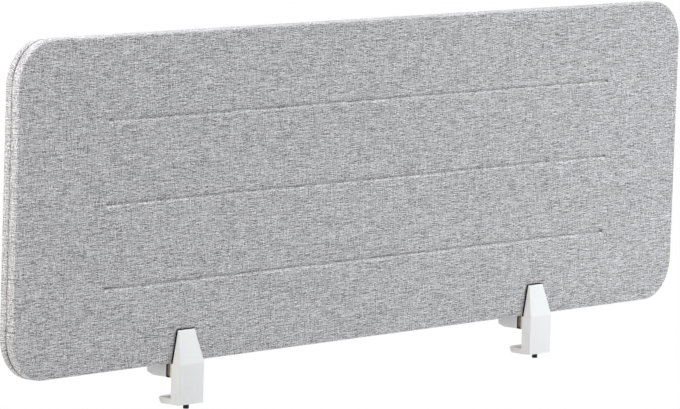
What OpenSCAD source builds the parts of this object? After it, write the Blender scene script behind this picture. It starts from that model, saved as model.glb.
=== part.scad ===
// Clamp-on desk screen: a fabric-covered acoustic panel that two clamps hold upright on a desk edge.
// X runs along the desk edge, Y goes back over the desk top and Z is up.
// The origin lies midway between the clamps, where the desk top meets its edge.

/* [Panel] */
// Length of the panel along the desk edge
panel_w = 1600; // [1300:10:2000]
// Height of the panel
panel_h = 500; // [400:10:700]
// Thickness of the panel, both halves together
panel_t = 28; // [26:0.5:36]
// Radius of the panel's four corners
corner_r = 68; // [60:1:90]
// Rounding round the rim of each face
edge_r = 4.6; // [3:0.1:6]
// Rounding of each half where the two meet at the seam
seam_r = 2; // [1.6:0.1:3]
// Thickness of the cover fabric
fabric_t = 1.2; // [0.8:0.1:1.5]
// Wall of the two pressed felt halves
shell_t = 4; // [3:0.1:5]

/* [Pressed grooves] */
// How many grooves cross each face, evenly spaced up its height
groove_count = 3; // [1:1:4]
// From the panel's end to the end of a groove
groove_margin = 194; // [150:2:300]
// Radius of a groove's round bottom
groove_r = 2.6; // [2.3:0.1:4]
// Depth of a groove below the face
groove_depth = 2; // [1:0.1:2.2]

/* [Inner frame] */
// Height of the bottom and top rails
rail_h = 45; // [40:1:55]
// Width of the stiles at the two ends
stile_w = 60; // [54:1:80]
// Width of the posts that stand above the clamps
post_w = 40; // [30:1:60]
// Gap between the frame and what lies round it
frame_gap = 0.2; // [0.1:0.05:0.5]
// Diameter of the frame's wood screws
wood_screw_d = 4; // [3:0.5:5]
// Length of the wood screws under the head
wood_screw_len = 66; // [60:1:90]
// Diameter of a wood screw's head
wood_head_d = 8; // [7:0.5:10]
// Height of a wood screw's head
wood_head_h = 2.6; // [2:0.1:4]
// How deep a wood screw's head is sunk in the rail
wood_head_sink = 5; // [4:0.5:8]

/* [Clamps] */
// From the panel's end to the middle of a clamp
clamp_inset = 374; // [150:2:500]
// Width of a clamp
clamp_w = 56; // [52:1:70]
// Depth of the front jaw's column, from its front face to the desk edge
column_t = 17; // [16.5:0.5:22]
// Height of the panel above the desk top
foot_h = 21.5; // [21:0.5:28]
// Widest opening for the desk top, as the clamp stands at rest
desk_gap = 31; // [28:0.5:45]
// Thinnest desk top that the clamp closes on
desk_least = 10; // [9:0.5:15]
// Height that the jaws reach up the panel
wedge_h = 50; // [40:1:60]
// Width of a jaw at its top
wedge_top_w = 36; // [28:1:44]
// Thickness of a jaw at its top
wedge_top_t = 1.6; // [1.2:0.1:2.5]
// Height of the steeper brow that ends a jaw at its top
brow_h = 6; // [3:0.5:10]
// Thickness of a jaw where the brow begins
brow_t = 4; // [3:0.1:5]
// Thickness of the pads that grip the panel
pad_t = 2; // [1.5:0.1:3]
// How far a grip pad stands out above its jaw
pad_rise = 1.2; // [0.5:0.1:2]
// How far a grip pad stands out at each side of its jaw
pad_side = 0.4; // [0.2:0.1:1]

/* [Lower lip] */
// Thickness of the lip that goes under the desk
lip_t = 9.2; // [8:0.1:14]
// Reach of the lip under the desk at its middle
lip_reach = 32; // [28:0.5:45]
// Reach of the lip at its sides
lip_side_reach = 25; // [20:0.5:27]
// Width of the straight end between the lip's two cut corners
lip_end_w = 26; // [16:1:36]
// How much shorter the lip is below than above
lip_slant = 5; // [2:0.5:8]
// Rim of the lip round its pad
lip_rim = 2.2; // [1.5:0.1:4]
// Thickness of the lip's pad
lip_pad_t = 1.5; // [1:0.1:3]
// How far the lip's pad and the foot's pad stand proud
pad_proud = 0.3; // [0.1:0.1:0.6]

/* [Rear jaw] */
// Depth of the rear jaw behind its grip pad, at its foot
rear_t = 20; // [18.5:0.5:26]
// Length of the slope under the rear end
rear_slope_l = 12; // [6:0.5:14]
// Rise of the slope under the rear end
rear_slope_h = 4.4; // [2:0.1:4.8]
// How far the rear jaw opens to take the panel
grip_travel = 6; // [3:0.5:8]
// Thickness of the foot's pad
foot_pad_t = 1.5; // [1:0.1:2]
// Rim of the foot round its pad
foot_rim = 4; // [3:0.5:8]

/* [Slide between the jaws] */
// Thickness of the face plate that runs on the column
face_plate_t = 2.8; // [2:0.1:4]
// Depth of the black sleeve behind the face plate
sleeve_t = 8; // [6.5:0.1:10]
// Rear wall of the sleeve
sleeve_back = 1.8; // [1.2:0.1:2.5]
// Floor of the sleeve
sleeve_floor = 2.6; // [1.5:0.1:3]
// Roof of the sleeve
sleeve_roof = 1.2; // [0.8:0.1:1.6]
// How far the sleeve stands back from the clamp's sides
sleeve_side = 0.8; // [0.4:0.1:2]
// Width of the slide's head inside the column
head_w = 24; // [20:0.5:30]
// Height of the slide's head
head_h = 16; // [14:0.5:17]
// Width of the slide's neck in the column's slot
neck_w = 14; // [13.5:0.5:16]
// Thickness of the column's two ribs that hold the slide's head
slot_rib = 3.2; // [2.5:0.1:4]
// Thickness of the column's front wall
column_wall = 3.7; // [3:0.1:4]
// Width of the tongue that guides the rear jaw
tongue_w = 18; // [16.5:0.5:24]
// Height of the tongue
tongue_h = 14; // [13:0.1:14.6]
// Clearance round each sliding piece
slide_gap = 0.3; // [0.2:0.05:0.4]
// Gap between faces that only rest on each other
seat_gap = 0.2; // [0.1:0.05:0.3]

/* [Machine screws] */
// Diameter of the clamp and grip screws
screw_d = 6; // [5:0.1:6.2]
// Clearance round a screw in a plain hole
screw_gap = 0.3; // [0.2:0.05:0.4]
// Running clearance of a screw in its nut
thread_gap = 0.05; // [0.02:0.01:0.08]
// From the column's front face to the middle of the clamp screw
clamp_screw_in = 10.5; // [10:0.1:11]
// Diameter of the clamp screw's head
clamp_head_d = 9; // [8:0.1:12]
// Height of the clamp screw's head
clamp_head_h = 7.5; // [5:0.1:9]
// Diameter of the grip screw's head
grip_head_d = 10; // [9:0.1:10.4]
// Height of the grip screw's head
grip_head_h = 5; // [4:0.1:6]
// Width of the screws' hexagon sockets across their flats
socket_w = 4; // [3:0.5:5]
// Depth of the hexagon sockets
socket_deep = 3; // [2:0.5:3.5]
// Width of the nuts across their flats
nut_w = 10; // [9:0.1:10]
// Height of the nuts
nut_h = 5; // [4:0.1:5.4]

/* [Hidden] */
$fn = 72;
// How far a cut runs past the face that it opens
cut = 1;
// A hexagon's width across its corners as a share of that across its flats
hex_corner_share = 1 / cos(30);
// Thickness of the two plates that a hull joins, as a share of the hull's height
skin_share = 0.01;
// How much of the slide's head may stand in the entry window when the clamp is closed
window_share = 0.25;
// Places of the panel: its front face stands a sliding gap behind the column's inner face
face_y = slide_gap;
back_y = face_y + panel_t;
mid_y = face_y + panel_t / 2;
top_z = foot_h + panel_h;
half_t = panel_t / 2;
wall = fabric_t + shell_t;
frame_in = wall + frame_gap;
groove_out = groove_r - groove_depth;
groove_half = panel_w / 2 - groove_margin - groove_r;
// Places of the frame: an end screw stands clear of the panel's round corner
clamp_x = panel_w / 2 - clamp_inset;
stile_x = panel_w / 2 - frame_in - stile_w;
end_screw_x = stile_x + wood_head_d;
rail_low_z = foot_h + frame_in;
rail_high_z = top_z - frame_in;
// Places of the front jaw
lip_z = -desk_gap - pad_proud;
column_z = lip_z - lip_t;
wedge_z = foot_h + wedge_h;
clamp_travel = desk_gap - desk_least;
clamp_screw_y = clamp_screw_in - column_t;
// Places of the slide that runs up and down in the column
seat_z = foot_h - seat_gap;
block_y = face_plate_t + seat_gap;
sleeve_y = block_y + sleeve_t;
block_end_y = sleeve_y - sleeve_back;
head_z = (foot_h - head_h) / 2;
head_top_z = head_z + head_h;
head_front_y = column_wall + slide_gap - column_t;
head_back_y = -slot_rib - slide_gap;
nut_z = head_top_z - nut_h;
// The column's cavity: at rest the head stands at its top, and closed it stands at the entry window,
// which the head comes in through from behind before the clamp is put together
cavity_top_z = head_top_z + slide_gap;
window_top_z = head_z - clamp_travel + head_h * window_share;
cavity_floor_z = window_top_z - head_h - 2 * slide_gap;
// Places of the rear jaw
foot_z = pad_proud;
jaw_y = sleeve_y + seat_gap;
grip_y = back_y + pad_t;
end_y = grip_y + rear_t;
axis_z = (foot_z + seat_z) / 2;
grip_seat_y = end_y - grip_head_h - seat_gap;
// The jaw's back wall between the screw's head and the tongue is as thick as the screw
tongue_end_y = grip_seat_y - screw_d - slide_gap;
// The grip screw's nut lies in the tongue, its own height from the tongue's end
grip_nut_y = tongue_end_y - 2 * nut_h;
// The grip screw still fills its nut, and one height more, when the jaw stands open
grip_screw_len = grip_seat_y - grip_nut_y + grip_travel + nut_h;
grip_bore_y = grip_seat_y - grip_screw_len - screw_gap;

// Box between two opposite corners
module box(low, high) {
    translate(low) cube(high - low);
}

// Outline in Y and Z carried along X, centred on the middle
module along_x(width) {
    translate([-width / 2, 0, 0]) rotate([90, 0, 90]) linear_extrude(width) children();
}

// Outline in X and Z carried along Y from y0 to y1
module along_y(y0, y1) {
    translate([0, y1, 0]) rotate([90, 0, 0]) linear_extrude(y1 - y0) children();
}

// Places on a face of the panel: x along it, y up from its bottom edge, z into it
module on_front_face() {
    translate([0, face_y, foot_h]) rotate([90, 0, 180]) children();
}

module on_rear_face() {
    translate([0, back_y, foot_h]) rotate([90, 0, 0]) children();
}

// The panel's outline, taken in by an inset all round
module panel_outline(inset) {
    straight_w = panel_w - 2 * corner_r;
    straight_h = panel_h - 2 * corner_r;
    translate([-straight_w / 2, inset]) square([straight_w, panel_h - 2 * inset]);
    translate([inset - panel_w / 2, corner_r]) square([panel_w - 2 * inset, straight_h]);
    for (x = [-straight_w / 2, straight_w / 2], y = [corner_r, panel_h - corner_r])
        translate([x, y]) circle(corner_r - inset);
}

// Section through the rim of one half: x out from the corner's centre, y into the panel
module rim_section(inset) {
    reach = corner_r - inset;
    deep = half_t - inset;
    face_round = edge_r - inset;
    seam_round = seam_r - inset;
    translate([0, inset]) square([reach - face_round, deep - seam_round - inset]);
    translate([0, edge_r]) square([reach, deep - seam_round - edge_r]);
    translate([0, edge_r]) square([reach - seam_round, deep - edge_r]);
    translate([reach - face_round, edge_r]) circle(face_round);
    translate([reach - seam_round, deep - seam_round]) circle(seam_round);
}

// One straight side of a half's rim, with its outside towards +X
module rim_side(length, inset) {
    translate([0, length / 2, 0]) rotate([90, 0, 0]) linear_extrude(length) rim_section(inset);
}

// Solid form of one half of the panel, with rounded rims, taken in by an inset
module half_form(inset) {
    straight_w = panel_w - 2 * corner_r;
    straight_h = panel_h - 2 * corner_r;
    translate([0, panel_h / 2, 0]) {
        for (end = [0, 1]) {
            rotate([0, 0, 180 * end]) translate([straight_w / 2, 0, 0]) rim_side(straight_h, inset);
            rotate([0, 0, 90 + 180 * end]) translate([straight_h / 2, 0, 0]) rim_side(straight_w, inset);
        }
        for (x = [-1, 1], y = [-1, 1])
            translate([x * straight_w / 2, y * straight_h / 2, 0])
                rotate([0, 0, y > 0 ? 45 - 45 * x : 225 + 45 * x])
                    rotate_extrude(angle = 90) rim_section(inset);
        box([-straight_w / 2, -straight_h / 2, inset], [straight_w / 2, straight_h / 2, half_t - inset]);
    }
}

// The pressed grooves of one face, widened by an inset so that walls beneath keep their thickness
module grooves(inset) {
    for (i = [1:groove_count])
        translate([0, panel_h * i / (groove_count + 1), -groove_out]) {
            rotate([0, 90, 0]) cylinder(r = groove_r + inset, h = 2 * groove_half, center = true);
            for (x = [-groove_half, groove_half])
                translate([x, 0, 0]) sphere(groove_r + inset);
        }
}

module grooved_form(inset) {
    difference() {
        half_form(inset);
        grooves(inset);
    }
}

// Cover of one half: it follows the felt, wraps its rim and ends at the frame
module fabric() {
    color("silver") difference() {
        grooved_form(0);
        grooved_form(fabric_t);
        translate([0, 0, half_t - fabric_t - cut]) linear_extrude(fabric_t + 2 * cut) panel_outline(wall);
    }
}

// Pressed felt half: a shallow tray whose grooves show inside as ridges
module shell() {
    color("gainsboro") difference() {
        grooved_form(fabric_t);
        difference() {
            translate([0, 0, wall]) linear_extrude(half_t) panel_outline(wall);
            grooves(wall);
        }
    }
}

// What lies between the two felt halves, within given heights and widths
module frame_layer(low_x, high_x, low_z, high_z) {
    difference() {
        intersection() {
            box([low_x, face_y + frame_in, low_z], [high_x, back_y - frame_in, high_z]);
            on_rear_face() linear_extrude(panel_t) panel_outline(frame_in);
        }
        on_front_face() grooves(frame_in);
        on_rear_face() grooves(frame_in);
    }
}

// Each place of a wood screw, with the screw's axis up from the bottom rail or down from the top one
module at_frame_screws() {
    for (x = [-end_screw_x, -clamp_x, clamp_x, end_screw_x]) {
        translate([x, mid_y, rail_low_z + wood_head_sink]) children();
        translate([x, mid_y, rail_high_z - wood_head_sink]) mirror([0, 0, 1]) children();
    }
}

module frame_screws() {
    color("dimgray") at_frame_screws() {
        cylinder(d = wood_head_d, h = wood_head_h);
        cylinder(d = wood_screw_d, h = wood_head_h + wood_screw_len);
    }
}

// Hole for a wood screw, with the recess that its head is sunk in
module frame_screw_hole() {
    gap = thread_gap;
    translate([0, 0, -wood_head_sink - cut])
        cylinder(d = wood_head_d + 2 * gap, h = wood_head_sink + cut + wood_head_h);
    cylinder(d = wood_screw_d + 2 * gap, h = wood_head_h + wood_screw_len + gap);
}

module rail(low_z) {
    color("burlywood") difference() {
        frame_layer(-panel_w / 2, panel_w / 2, low_z, low_z + rail_h);
        at_frame_screws() frame_screw_hole();
    }
}

// Upright of the frame between the rails
module upright(low_x, high_x) {
    color("burlywood") difference() {
        frame_layer(low_x, high_x, rail_low_z + rail_h, rail_high_z - rail_h);
        at_frame_screws() frame_screw_hole();
    }
}

// Sound-absorbing wadding that fills the frame between two uprights
module wadding(low_x, high_x) {
    color("whitesmoke") frame_layer(
        low_x + frame_gap, high_x - frame_gap,
        rail_low_z + rail_h + frame_gap, rail_high_z - rail_h - frame_gap
    );
}

module at_clamp(side) {
    translate([side * clamp_x, 0, 0]) children();
}

// A jaw seen from the front, from a low edge up to its narrow top, grown by a margin
module jaw_front(low_z, side = 0, rise = 0) {
    polygon([
        [-clamp_w / 2 - side, low_z], [clamp_w / 2 + side, low_z],
        [clamp_w / 2 + side, foot_h], [wedge_top_w / 2 + side, wedge_z + rise],
        [-wedge_top_w / 2 - side, wedge_z + rise], [-clamp_w / 2 - side, foot_h]
    ]);
}

// Section through the front jaw's column and wedge: y back, z up
module front_jaw_section() {
    polygon([
        [-column_t, column_z], [0, column_z], [0, foot_h], [-pad_t, foot_h], [-pad_t, wedge_z],
        [-pad_t - wedge_top_t, wedge_z], [-pad_t - brow_t, wedge_z - brow_h], [-column_t, foot_h]
    ]);
}

// Outline of the lip from above, taken in alike along every edge by an inset and shortened by a slant
module lip_outline(inset = 0, slant = 0) {
    corner = atan2(lip_reach - lip_side_reach, (clamp_w - lip_end_w) / 2);
    side_x = clamp_w / 2 - inset;
    side_y = lip_side_reach - slant - inset * tan((90 - corner) / 2);
    end_x = lip_end_w / 2 - inset * tan(corner / 2);
    end_y = lip_reach - slant - inset;
    polygon([
        [-side_x, inset - cut], [side_x, inset - cut], [side_x, side_y],
        [end_x, end_y], [-end_x, end_y], [-side_x, side_y]
    ]);
}

module lip() {
    skin = lip_t * skin_share;
    hull() {
        translate([0, 0, lip_z - skin]) linear_extrude(skin) lip_outline();
        translate([0, 0, column_z]) linear_extrude(skin) lip_outline(slant = lip_slant);
    }
}

// The lip's pad and its recess, which a gap makes larger
module lip_pad_form(height) {
    translate([0, 0, lip_z - lip_pad_t + pad_proud]) linear_extrude(height) difference() {
        lip_outline(lip_rim);
        translate([-clamp_w / 2, -cut]) square([clamp_w, lip_rim + cut]);
    }
}

// Front jaw: wedge, column and lip in one casting, hollow behind for the slide's head
module front_jaw() {
    head = head_w / 2 + slide_gap;
    neck = neck_w / 2 + slide_gap;
    color("white") difference() {
        union() {
            intersection() {
                along_x(clamp_w) front_jaw_section();
                along_y(-column_t, 0) jaw_front(column_z);
            }
            lip();
        }
        box([-head, head_front_y - slide_gap, cavity_floor_z], [head, -slot_rib, cavity_top_z]);
        box([-neck, -slot_rib - cut, cavity_floor_z], [neck, cut, cavity_top_z]);
        box([-head, -slot_rib - cut, cavity_floor_z], [head, cut, window_top_z]);
        translate([0, clamp_screw_y, column_z - cut])
            cylinder(d = screw_d + 2 * screw_gap, h = cavity_floor_z - column_z + 2 * cut);
        lip_pad_form(lip_pad_t + cut);
    }
}

module lip_pad() {
    color("gray") lip_pad_form(lip_pad_t);
}

module front_pad() {
    color("black") along_y(-pad_t, face_y) jaw_front(foot_h, pad_side, pad_rise);
}

// Hexagon socket in the end of a screw's head
module socket() {
    translate([0, 0, -cut]) cylinder(d = socket_w * hex_corner_share, h = socket_deep + cut, $fn = 6);
}

// Socket-head screw: its head below z = 0 and its shank above
module socket_screw(head_d, head_h, length) {
    difference() {
        union() {
            translate([0, 0, -head_h]) cylinder(d = head_d, h = head_h);
            cylinder(d = screw_d, h = length);
        }
        translate([0, 0, -head_h]) socket();
    }
}

// Clamp screw: it hangs in the column's foot and draws the jaw up on the slide's nut
module clamp_screw() {
    color("black") translate([0, clamp_screw_y, column_z - seat_gap / 2])
        socket_screw(clamp_head_d, clamp_head_h, head_top_z - column_z - seat_gap);
}

module hex_nut(gap = 0, extra = 0) {
    cylinder(d = (nut_w + 2 * gap) * hex_corner_share, h = nut_h + extra, $fn = 6);
}

module clamp_nut() {
    color("silver") translate([0, clamp_screw_y, nut_z]) difference() {
        hex_nut();
        translate([0, 0, -cut]) cylinder(d = screw_d + 2 * thread_gap, h = nut_h + 2 * cut);
    }
}

module grip_nut() {
    color("silver") translate([0, grip_nut_y, axis_z]) rotate([-90, 0, 0]) difference() {
        hex_nut();
        translate([0, 0, -cut]) cylinder(d = screw_d + 2 * thread_gap, h = nut_h + 2 * cut);
    }
}

// Slide block: head and neck in the column, a plate in the sleeve and the tongue behind
module slide_block() {
    plate = clamp_w / 2 - 2 * sleeve_side;
    nut_half = nut_w / 2 + thread_gap;
    corner_half = nut_half * hex_corner_share;
    color("tan") difference() {
        union() {
            box([-head_w / 2, head_front_y, head_z], [head_w / 2, head_back_y, head_top_z]);
            box([-neck_w / 2, head_back_y - cut, head_z], [neck_w / 2, block_y + cut, head_top_z]);
            box([-plate, block_y, sleeve_floor], [plate, block_end_y, seat_z - sleeve_roof]);
            translate([0, 0, axis_z - tongue_h / 2])
                box([-tongue_w / 2, block_end_y - cut, 0], [tongue_w / 2, tongue_end_y, tongue_h]);
        }
        translate([0, clamp_screw_y, head_z - cut])
            cylinder(d = screw_d + 2 * screw_gap, h = head_h + 2 * cut);
        translate([0, clamp_screw_y, nut_z]) hex_nut(thread_gap, cut);
        translate([0, grip_bore_y, axis_z]) rotate([-90, 0, 0])
            cylinder(d = screw_d + 2 * screw_gap, h = tongue_end_y - grip_bore_y + cut);
        box([-corner_half, grip_nut_y - thread_gap, axis_z - nut_half],
            [corner_half, grip_nut_y + nut_h + thread_gap, axis_z + tongue_h]);
    }
}

// Face plate: it lies between the column and the sleeve, and the slide's neck passes through it
module face_plate() {
    neck = neck_w / 2 + slide_gap;
    color("antiquewhite") difference() {
        box([-clamp_w / 2, slide_gap / 2, 0], [clamp_w / 2, face_plate_t, seat_z]);
        box([-neck, -cut, head_z - slide_gap], [neck, face_plate_t + cut, head_top_z + slide_gap]);
    }
}

// Black sleeve: floor, rear wall and roof round the slide block's plate
module sleeve() {
    side = clamp_w - 2 * sleeve_side;
    tongue = tongue_w / 2 + slide_gap;
    color("black") difference() {
        along_x(side) polygon([
            [block_y, 0], [sleeve_y, 0], [sleeve_y, seat_z], [block_y, seat_z],
            [block_y, seat_z - sleeve_roof], [block_end_y, seat_z - sleeve_roof],
            [block_end_y, sleeve_floor], [block_y, sleeve_floor]
        ]);
        translate([0, 0, axis_z - tongue_h / 2 - slide_gap])
            box([-tongue, block_y, 0], [tongue, sleeve_y + cut, tongue_h + 2 * slide_gap]);
    }
}

// Section through the rear jaw: the base under the panel and the wedge behind it
module rear_jaw_section() {
    polygon([
        [jaw_y, foot_z], [end_y - rear_slope_l, foot_z], [end_y, foot_z + rear_slope_h], [end_y, foot_h],
        [grip_y + brow_t, wedge_z - brow_h], [grip_y + wedge_top_t, wedge_z], [grip_y, wedge_z],
        [grip_y, foot_h], [back_y, foot_h], [back_y, seat_z], [jaw_y, seat_z]
    ]);
}

module foot_pad_form(height) {
    translate([0, 0, foot_z - pad_proud]) box(
        [foot_rim - clamp_w / 2, jaw_y + foot_rim, 0],
        [clamp_w / 2 - foot_rim, end_y - rear_slope_l - foot_rim, height]
    );
}

// Rear jaw: it slides on the tongue and the grip screw draws it towards the panel
module rear_jaw() {
    tongue = tongue_w / 2 + slide_gap;
    color("white") difference() {
        intersection() {
            along_x(clamp_w) rear_jaw_section();
            along_y(jaw_y, end_y) jaw_front(foot_z);
        }
        translate([0, 0, axis_z - tongue_h / 2 - slide_gap])
            box([-tongue, jaw_y - cut, 0], [tongue, tongue_end_y + slide_gap, tongue_h + 2 * slide_gap]);
        translate([0, jaw_y, axis_z]) rotate([-90, 0, 0]) {
            cylinder(d = screw_d + 2 * screw_gap, h = end_y - jaw_y + cut);
            translate([0, 0, grip_seat_y - jaw_y])
                cylinder(d = grip_head_d + 2 * screw_gap, h = end_y - grip_seat_y + cut);
        }
        translate([0, 0, -cut]) foot_pad_form(foot_pad_t + cut);
    }
}

module rear_pad() {
    color("black") along_y(back_y, grip_y) jaw_front(foot_h, pad_side, pad_rise);
}

module foot_pad() {
    color("gray") foot_pad_form(foot_pad_t);
}

module grip_screw() {
    color("black") translate([0, grip_seat_y + seat_gap / 2, axis_z]) rotate([90, 0, 0])
        socket_screw(grip_head_d, grip_head_h, grip_screw_len);
}

on_front_face() fabric();  // front_fabric
on_rear_face() fabric();  // rear_fabric
on_front_face() shell();  // front_shell
on_rear_face() shell();  // rear_shell
rail(rail_low_z);  // bottom_rail
rail(rail_high_z - rail_h);  // top_rail
upright(-stile_x - stile_w, -stile_x);  // left_stile
upright(stile_x, stile_x + stile_w);  // right_stile
upright(-clamp_x - post_w / 2, -clamp_x + post_w / 2);  // left_post
upright(clamp_x - post_w / 2, clamp_x + post_w / 2);  // right_post
wadding(-stile_x, -clamp_x - post_w / 2);  // left_wadding
wadding(-clamp_x + post_w / 2, clamp_x - post_w / 2);  // middle_wadding
wadding(clamp_x + post_w / 2, stile_x);  // right_wadding
frame_screws();
at_clamp(-1) front_jaw();  // left_front_jaw
at_clamp(-1) front_pad();  // left_front_pad
at_clamp(-1) lip_pad();  // left_lip_pad
at_clamp(-1) clamp_screw();  // left_clamp_screw
at_clamp(-1) clamp_nut();  // left_clamp_nut
at_clamp(-1) slide_block();  // left_slide_block
at_clamp(-1) face_plate();  // left_face_plate
at_clamp(-1) sleeve();  // left_sleeve
at_clamp(-1) grip_nut();  // left_grip_nut
at_clamp(-1) rear_jaw();  // left_rear_jaw
at_clamp(-1) rear_pad();  // left_rear_pad
at_clamp(-1) foot_pad();  // left_foot_pad
at_clamp(-1) grip_screw();  // left_grip_screw
at_clamp(1) front_jaw();  // right_front_jaw
at_clamp(1) front_pad();  // right_front_pad
at_clamp(1) lip_pad();  // right_lip_pad
at_clamp(1) clamp_screw();  // right_clamp_screw
at_clamp(1) clamp_nut();  // right_clamp_nut
at_clamp(1) slide_block();  // right_slide_block
at_clamp(1) face_plate();  // right_face_plate
at_clamp(1) sleeve();  // right_sleeve
at_clamp(1) grip_nut();  // right_grip_nut
at_clamp(1) rear_jaw();  // right_rear_jaw
at_clamp(1) rear_pad();  // right_rear_pad
at_clamp(1) foot_pad();  // right_foot_pad
at_clamp(1) grip_screw();  // right_grip_screw
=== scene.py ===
"""Looks of a clamp-on desk screen: cloth covers, cast jaws, pads and screws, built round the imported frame.

All places are in metres in the frame's own axes: X along the desk edge, Y back over the desk, Z up.
"""

import logging
import math
from dataclasses import dataclass
from enum import Enum
from typing import Any, Sequence

import bpy
import bmesh
import numpy as np
from mathutils import Matrix, Vector


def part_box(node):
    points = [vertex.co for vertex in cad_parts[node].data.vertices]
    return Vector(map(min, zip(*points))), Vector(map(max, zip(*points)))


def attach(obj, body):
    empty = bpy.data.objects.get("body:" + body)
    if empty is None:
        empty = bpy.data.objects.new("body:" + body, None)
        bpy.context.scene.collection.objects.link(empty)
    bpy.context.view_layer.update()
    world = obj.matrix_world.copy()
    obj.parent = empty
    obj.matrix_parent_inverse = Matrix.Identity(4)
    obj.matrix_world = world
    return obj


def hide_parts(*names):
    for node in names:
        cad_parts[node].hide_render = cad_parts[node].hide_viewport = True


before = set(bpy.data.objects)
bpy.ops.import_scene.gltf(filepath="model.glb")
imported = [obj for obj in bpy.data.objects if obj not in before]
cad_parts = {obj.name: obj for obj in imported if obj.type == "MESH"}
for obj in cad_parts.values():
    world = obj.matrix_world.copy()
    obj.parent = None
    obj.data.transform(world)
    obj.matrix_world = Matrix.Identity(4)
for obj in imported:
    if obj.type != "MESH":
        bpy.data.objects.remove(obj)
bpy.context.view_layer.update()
LOG = logging.getLogger("desk_screen")
Array = np.ndarray
Triple = tuple[float, float, float]
Piece = bpy.types.Object
Socket = bpy.types.NodeSocket
MM = 0.001

# Points nearer than this are one
DOUBLE = 1e-6
# Smallest radius that a corner of an outline keeps
LEAST_R = 0.02 * MM
# Turns an edge's distances into steps back from the edge
BACK = np.array([1.0, -1.0])
# Points round a screw or a nut, round a bore and round the floor
AROUND = 72
BORE_AROUND = 48
FLOOR_AROUND = 96
# Edges that turn by less than this many degrees are shaded smooth
SMOOTH = 35.0
# How far a cut reaches past a face
OVERRUN = 1 * MM
# Corner and end radius of the boxes that only cut
CUTTER_R = 0.1 * MM
CUTTER_EDGE = 0.05 * MM


class Side(Enum):
    """The two clamps, by the end of the panel that each is nearer to."""

    LEFT = "left"
    RIGHT = "right"


class Grain(Enum):
    """The way that a timber piece's grain runs."""

    ALONG_X = 0
    ALONG_Z = 2


class Plane(Enum):
    """Where an outline's two axes and a body's length lie: (outline's first, outline's second, length)."""

    ALONG_Z = (0, 1, 2)
    ALONG_X = (1, 2, 0)
    ALONG_Y = (2, 0, 1)


# Shapes shared by all the pieces

def add_object(name: str, data: bpy.types.ID) -> Piece:
    """Puts a new object in the scene, at the origin.

    Args:
        name: The object's name.
        data: The mesh, lamp or camera that it holds.

    Returns:
        The new object.
    """
    made = bpy.data.objects.new(name, data)
    bpy.context.scene.collection.objects.link(made)
    return made


def close_up(piece: Piece, smooth_angle: float) -> None:
    """Merges doubled points, drops faces without area, turns all faces outwards and sets the shading.

    Args:
        piece: The mesh object.
        smooth_angle: Edges that turn by less than this many degrees are shaded smooth.
    """
    work = bmesh.new()
    work.from_mesh(piece.data)
    bmesh.ops.remove_doubles(work, verts=work.verts, dist=DOUBLE)
    bmesh.ops.dissolve_degenerate(work, edges=work.edges, dist=DOUBLE)
    bmesh.ops.recalc_face_normals(work, faces=work.faces)
    work.to_mesh(piece.data)
    work.free()
    piece.data.shade_smooth()
    piece.data.set_sharp_from_angle(angle=math.radians(smooth_angle))


@dataclass
class Skin:
    """A surface as arrays: points, faces of point numbers, and on cloth each point's flat place and painted
    light and shade.
    """

    points: Array
    faces: list[Sequence[int]]
    flat: Array | None = None
    # Painted light and shade of the cloth at each point, kept as the rim attribute
    rim: Array | None = None

    def to_piece(self, name: str, smooth_angle: float = SMOOTH) -> Piece:
        """Makes the surface a closed mesh object at the origin.

        Args:
            name: The piece's name.
            smooth_angle: Edges that turn by less than this many degrees are shaded smooth.

        Returns:
            The new object.
        """
        mesh = bpy.data.meshes.new(name)
        mesh.from_pydata(self.points.tolist(), [], [list(f) for f in self.faces])
        if self.flat is not None:
            layer = mesh.uv_layers.new(name="cloth")
            corners = np.empty(len(mesh.loops), np.int32)
            mesh.loops.foreach_get("vertex_index", corners)
            layer.data.foreach_set("uv", self.flat[corners].astype(np.float32).ravel())
            # The rim attribute holds the cloth's painted light and shade: paler on the rim, darker in the
            # seam and grooves
            shades = mesh.attributes.new("rim", "FLOAT", "POINT").data
            shades.foreach_set("value", self.rim.astype(np.float32))
        piece = add_object(name, mesh)
        close_up(piece, smooth_angle)
        return piece


def grid_faces(rows: int, columns: int, start: int = 0, wrap: bool = False) -> list[list[int]]:
    """Faces of a grid of points that is stored row after row.

    Args:
        rows: How many rows of points.
        columns: How many points in a row.
        start: Number of the grid's first point.
        wrap: Whether each row closes on itself.

    Returns:
        One list of four point numbers for each face.
    """
    number = start + np.arange(rows * columns).reshape(rows, columns)
    if wrap:
        number = np.hstack([number, number[:, :1]])
    quads = np.stack([number[:-1, :-1], number[:-1, 1:], number[1:, 1:], number[1:, :-1]], -1)
    return quads.reshape(-1, 4).tolist()


def loft(rings: Array) -> Skin:
    """Closed body through a stack of rings of as many points each, with a flat cap at both ends.

    Args:
        rings: The points as (ring, point, 3).

    Returns:
        The body's surface.
    """
    count, around = rings.shape[:2]
    caps = [list(range(around))[::-1], list(range((count - 1) * around, count * around))]
    return Skin(rings.reshape(-1, 3), grid_faces(count, around, wrap=True) + caps)


def turned(plane: Plane, centre: Sequence[float], rings: Sequence[tuple[float, Any]], count: int) -> Array:
    """Rings round an axis: from it, each point lies its radius times its angle's cosine and sine away.

    Args:
        plane: Which way the axis runs.
        centre: A point of the axis.
        rings: Each ring's place along the axis and its radius, one number or one for each point.
        count: How many points a ring has.

    Returns:
        The points as (ring, point, 3).
    """
    first, second, along = plane.value
    turn = circle(count)
    radius = np.stack([np.broadcast_to(r, count) for _, r in rings])
    points = np.empty((len(rings), count, 3))
    points[..., first] = centre[first] + radius * np.cos(turn)
    points[..., second] = centre[second] + radius * np.sin(turn)
    points[..., along] = np.array([place for place, _ in rings])[:, None]
    return points


def circle(count: int) -> Array:
    """Angles of a number of points once round."""
    return np.linspace(0, 2 * np.pi, count, endpoint=False)


def hexagon(flats: float, shift: float) -> Array:
    """Radius of a hexagon at each angle, from half its width over flats and its turn."""
    return flats / np.cos((circle(AROUND) + shift) % (np.pi / 3) - np.pi / 6)


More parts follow.
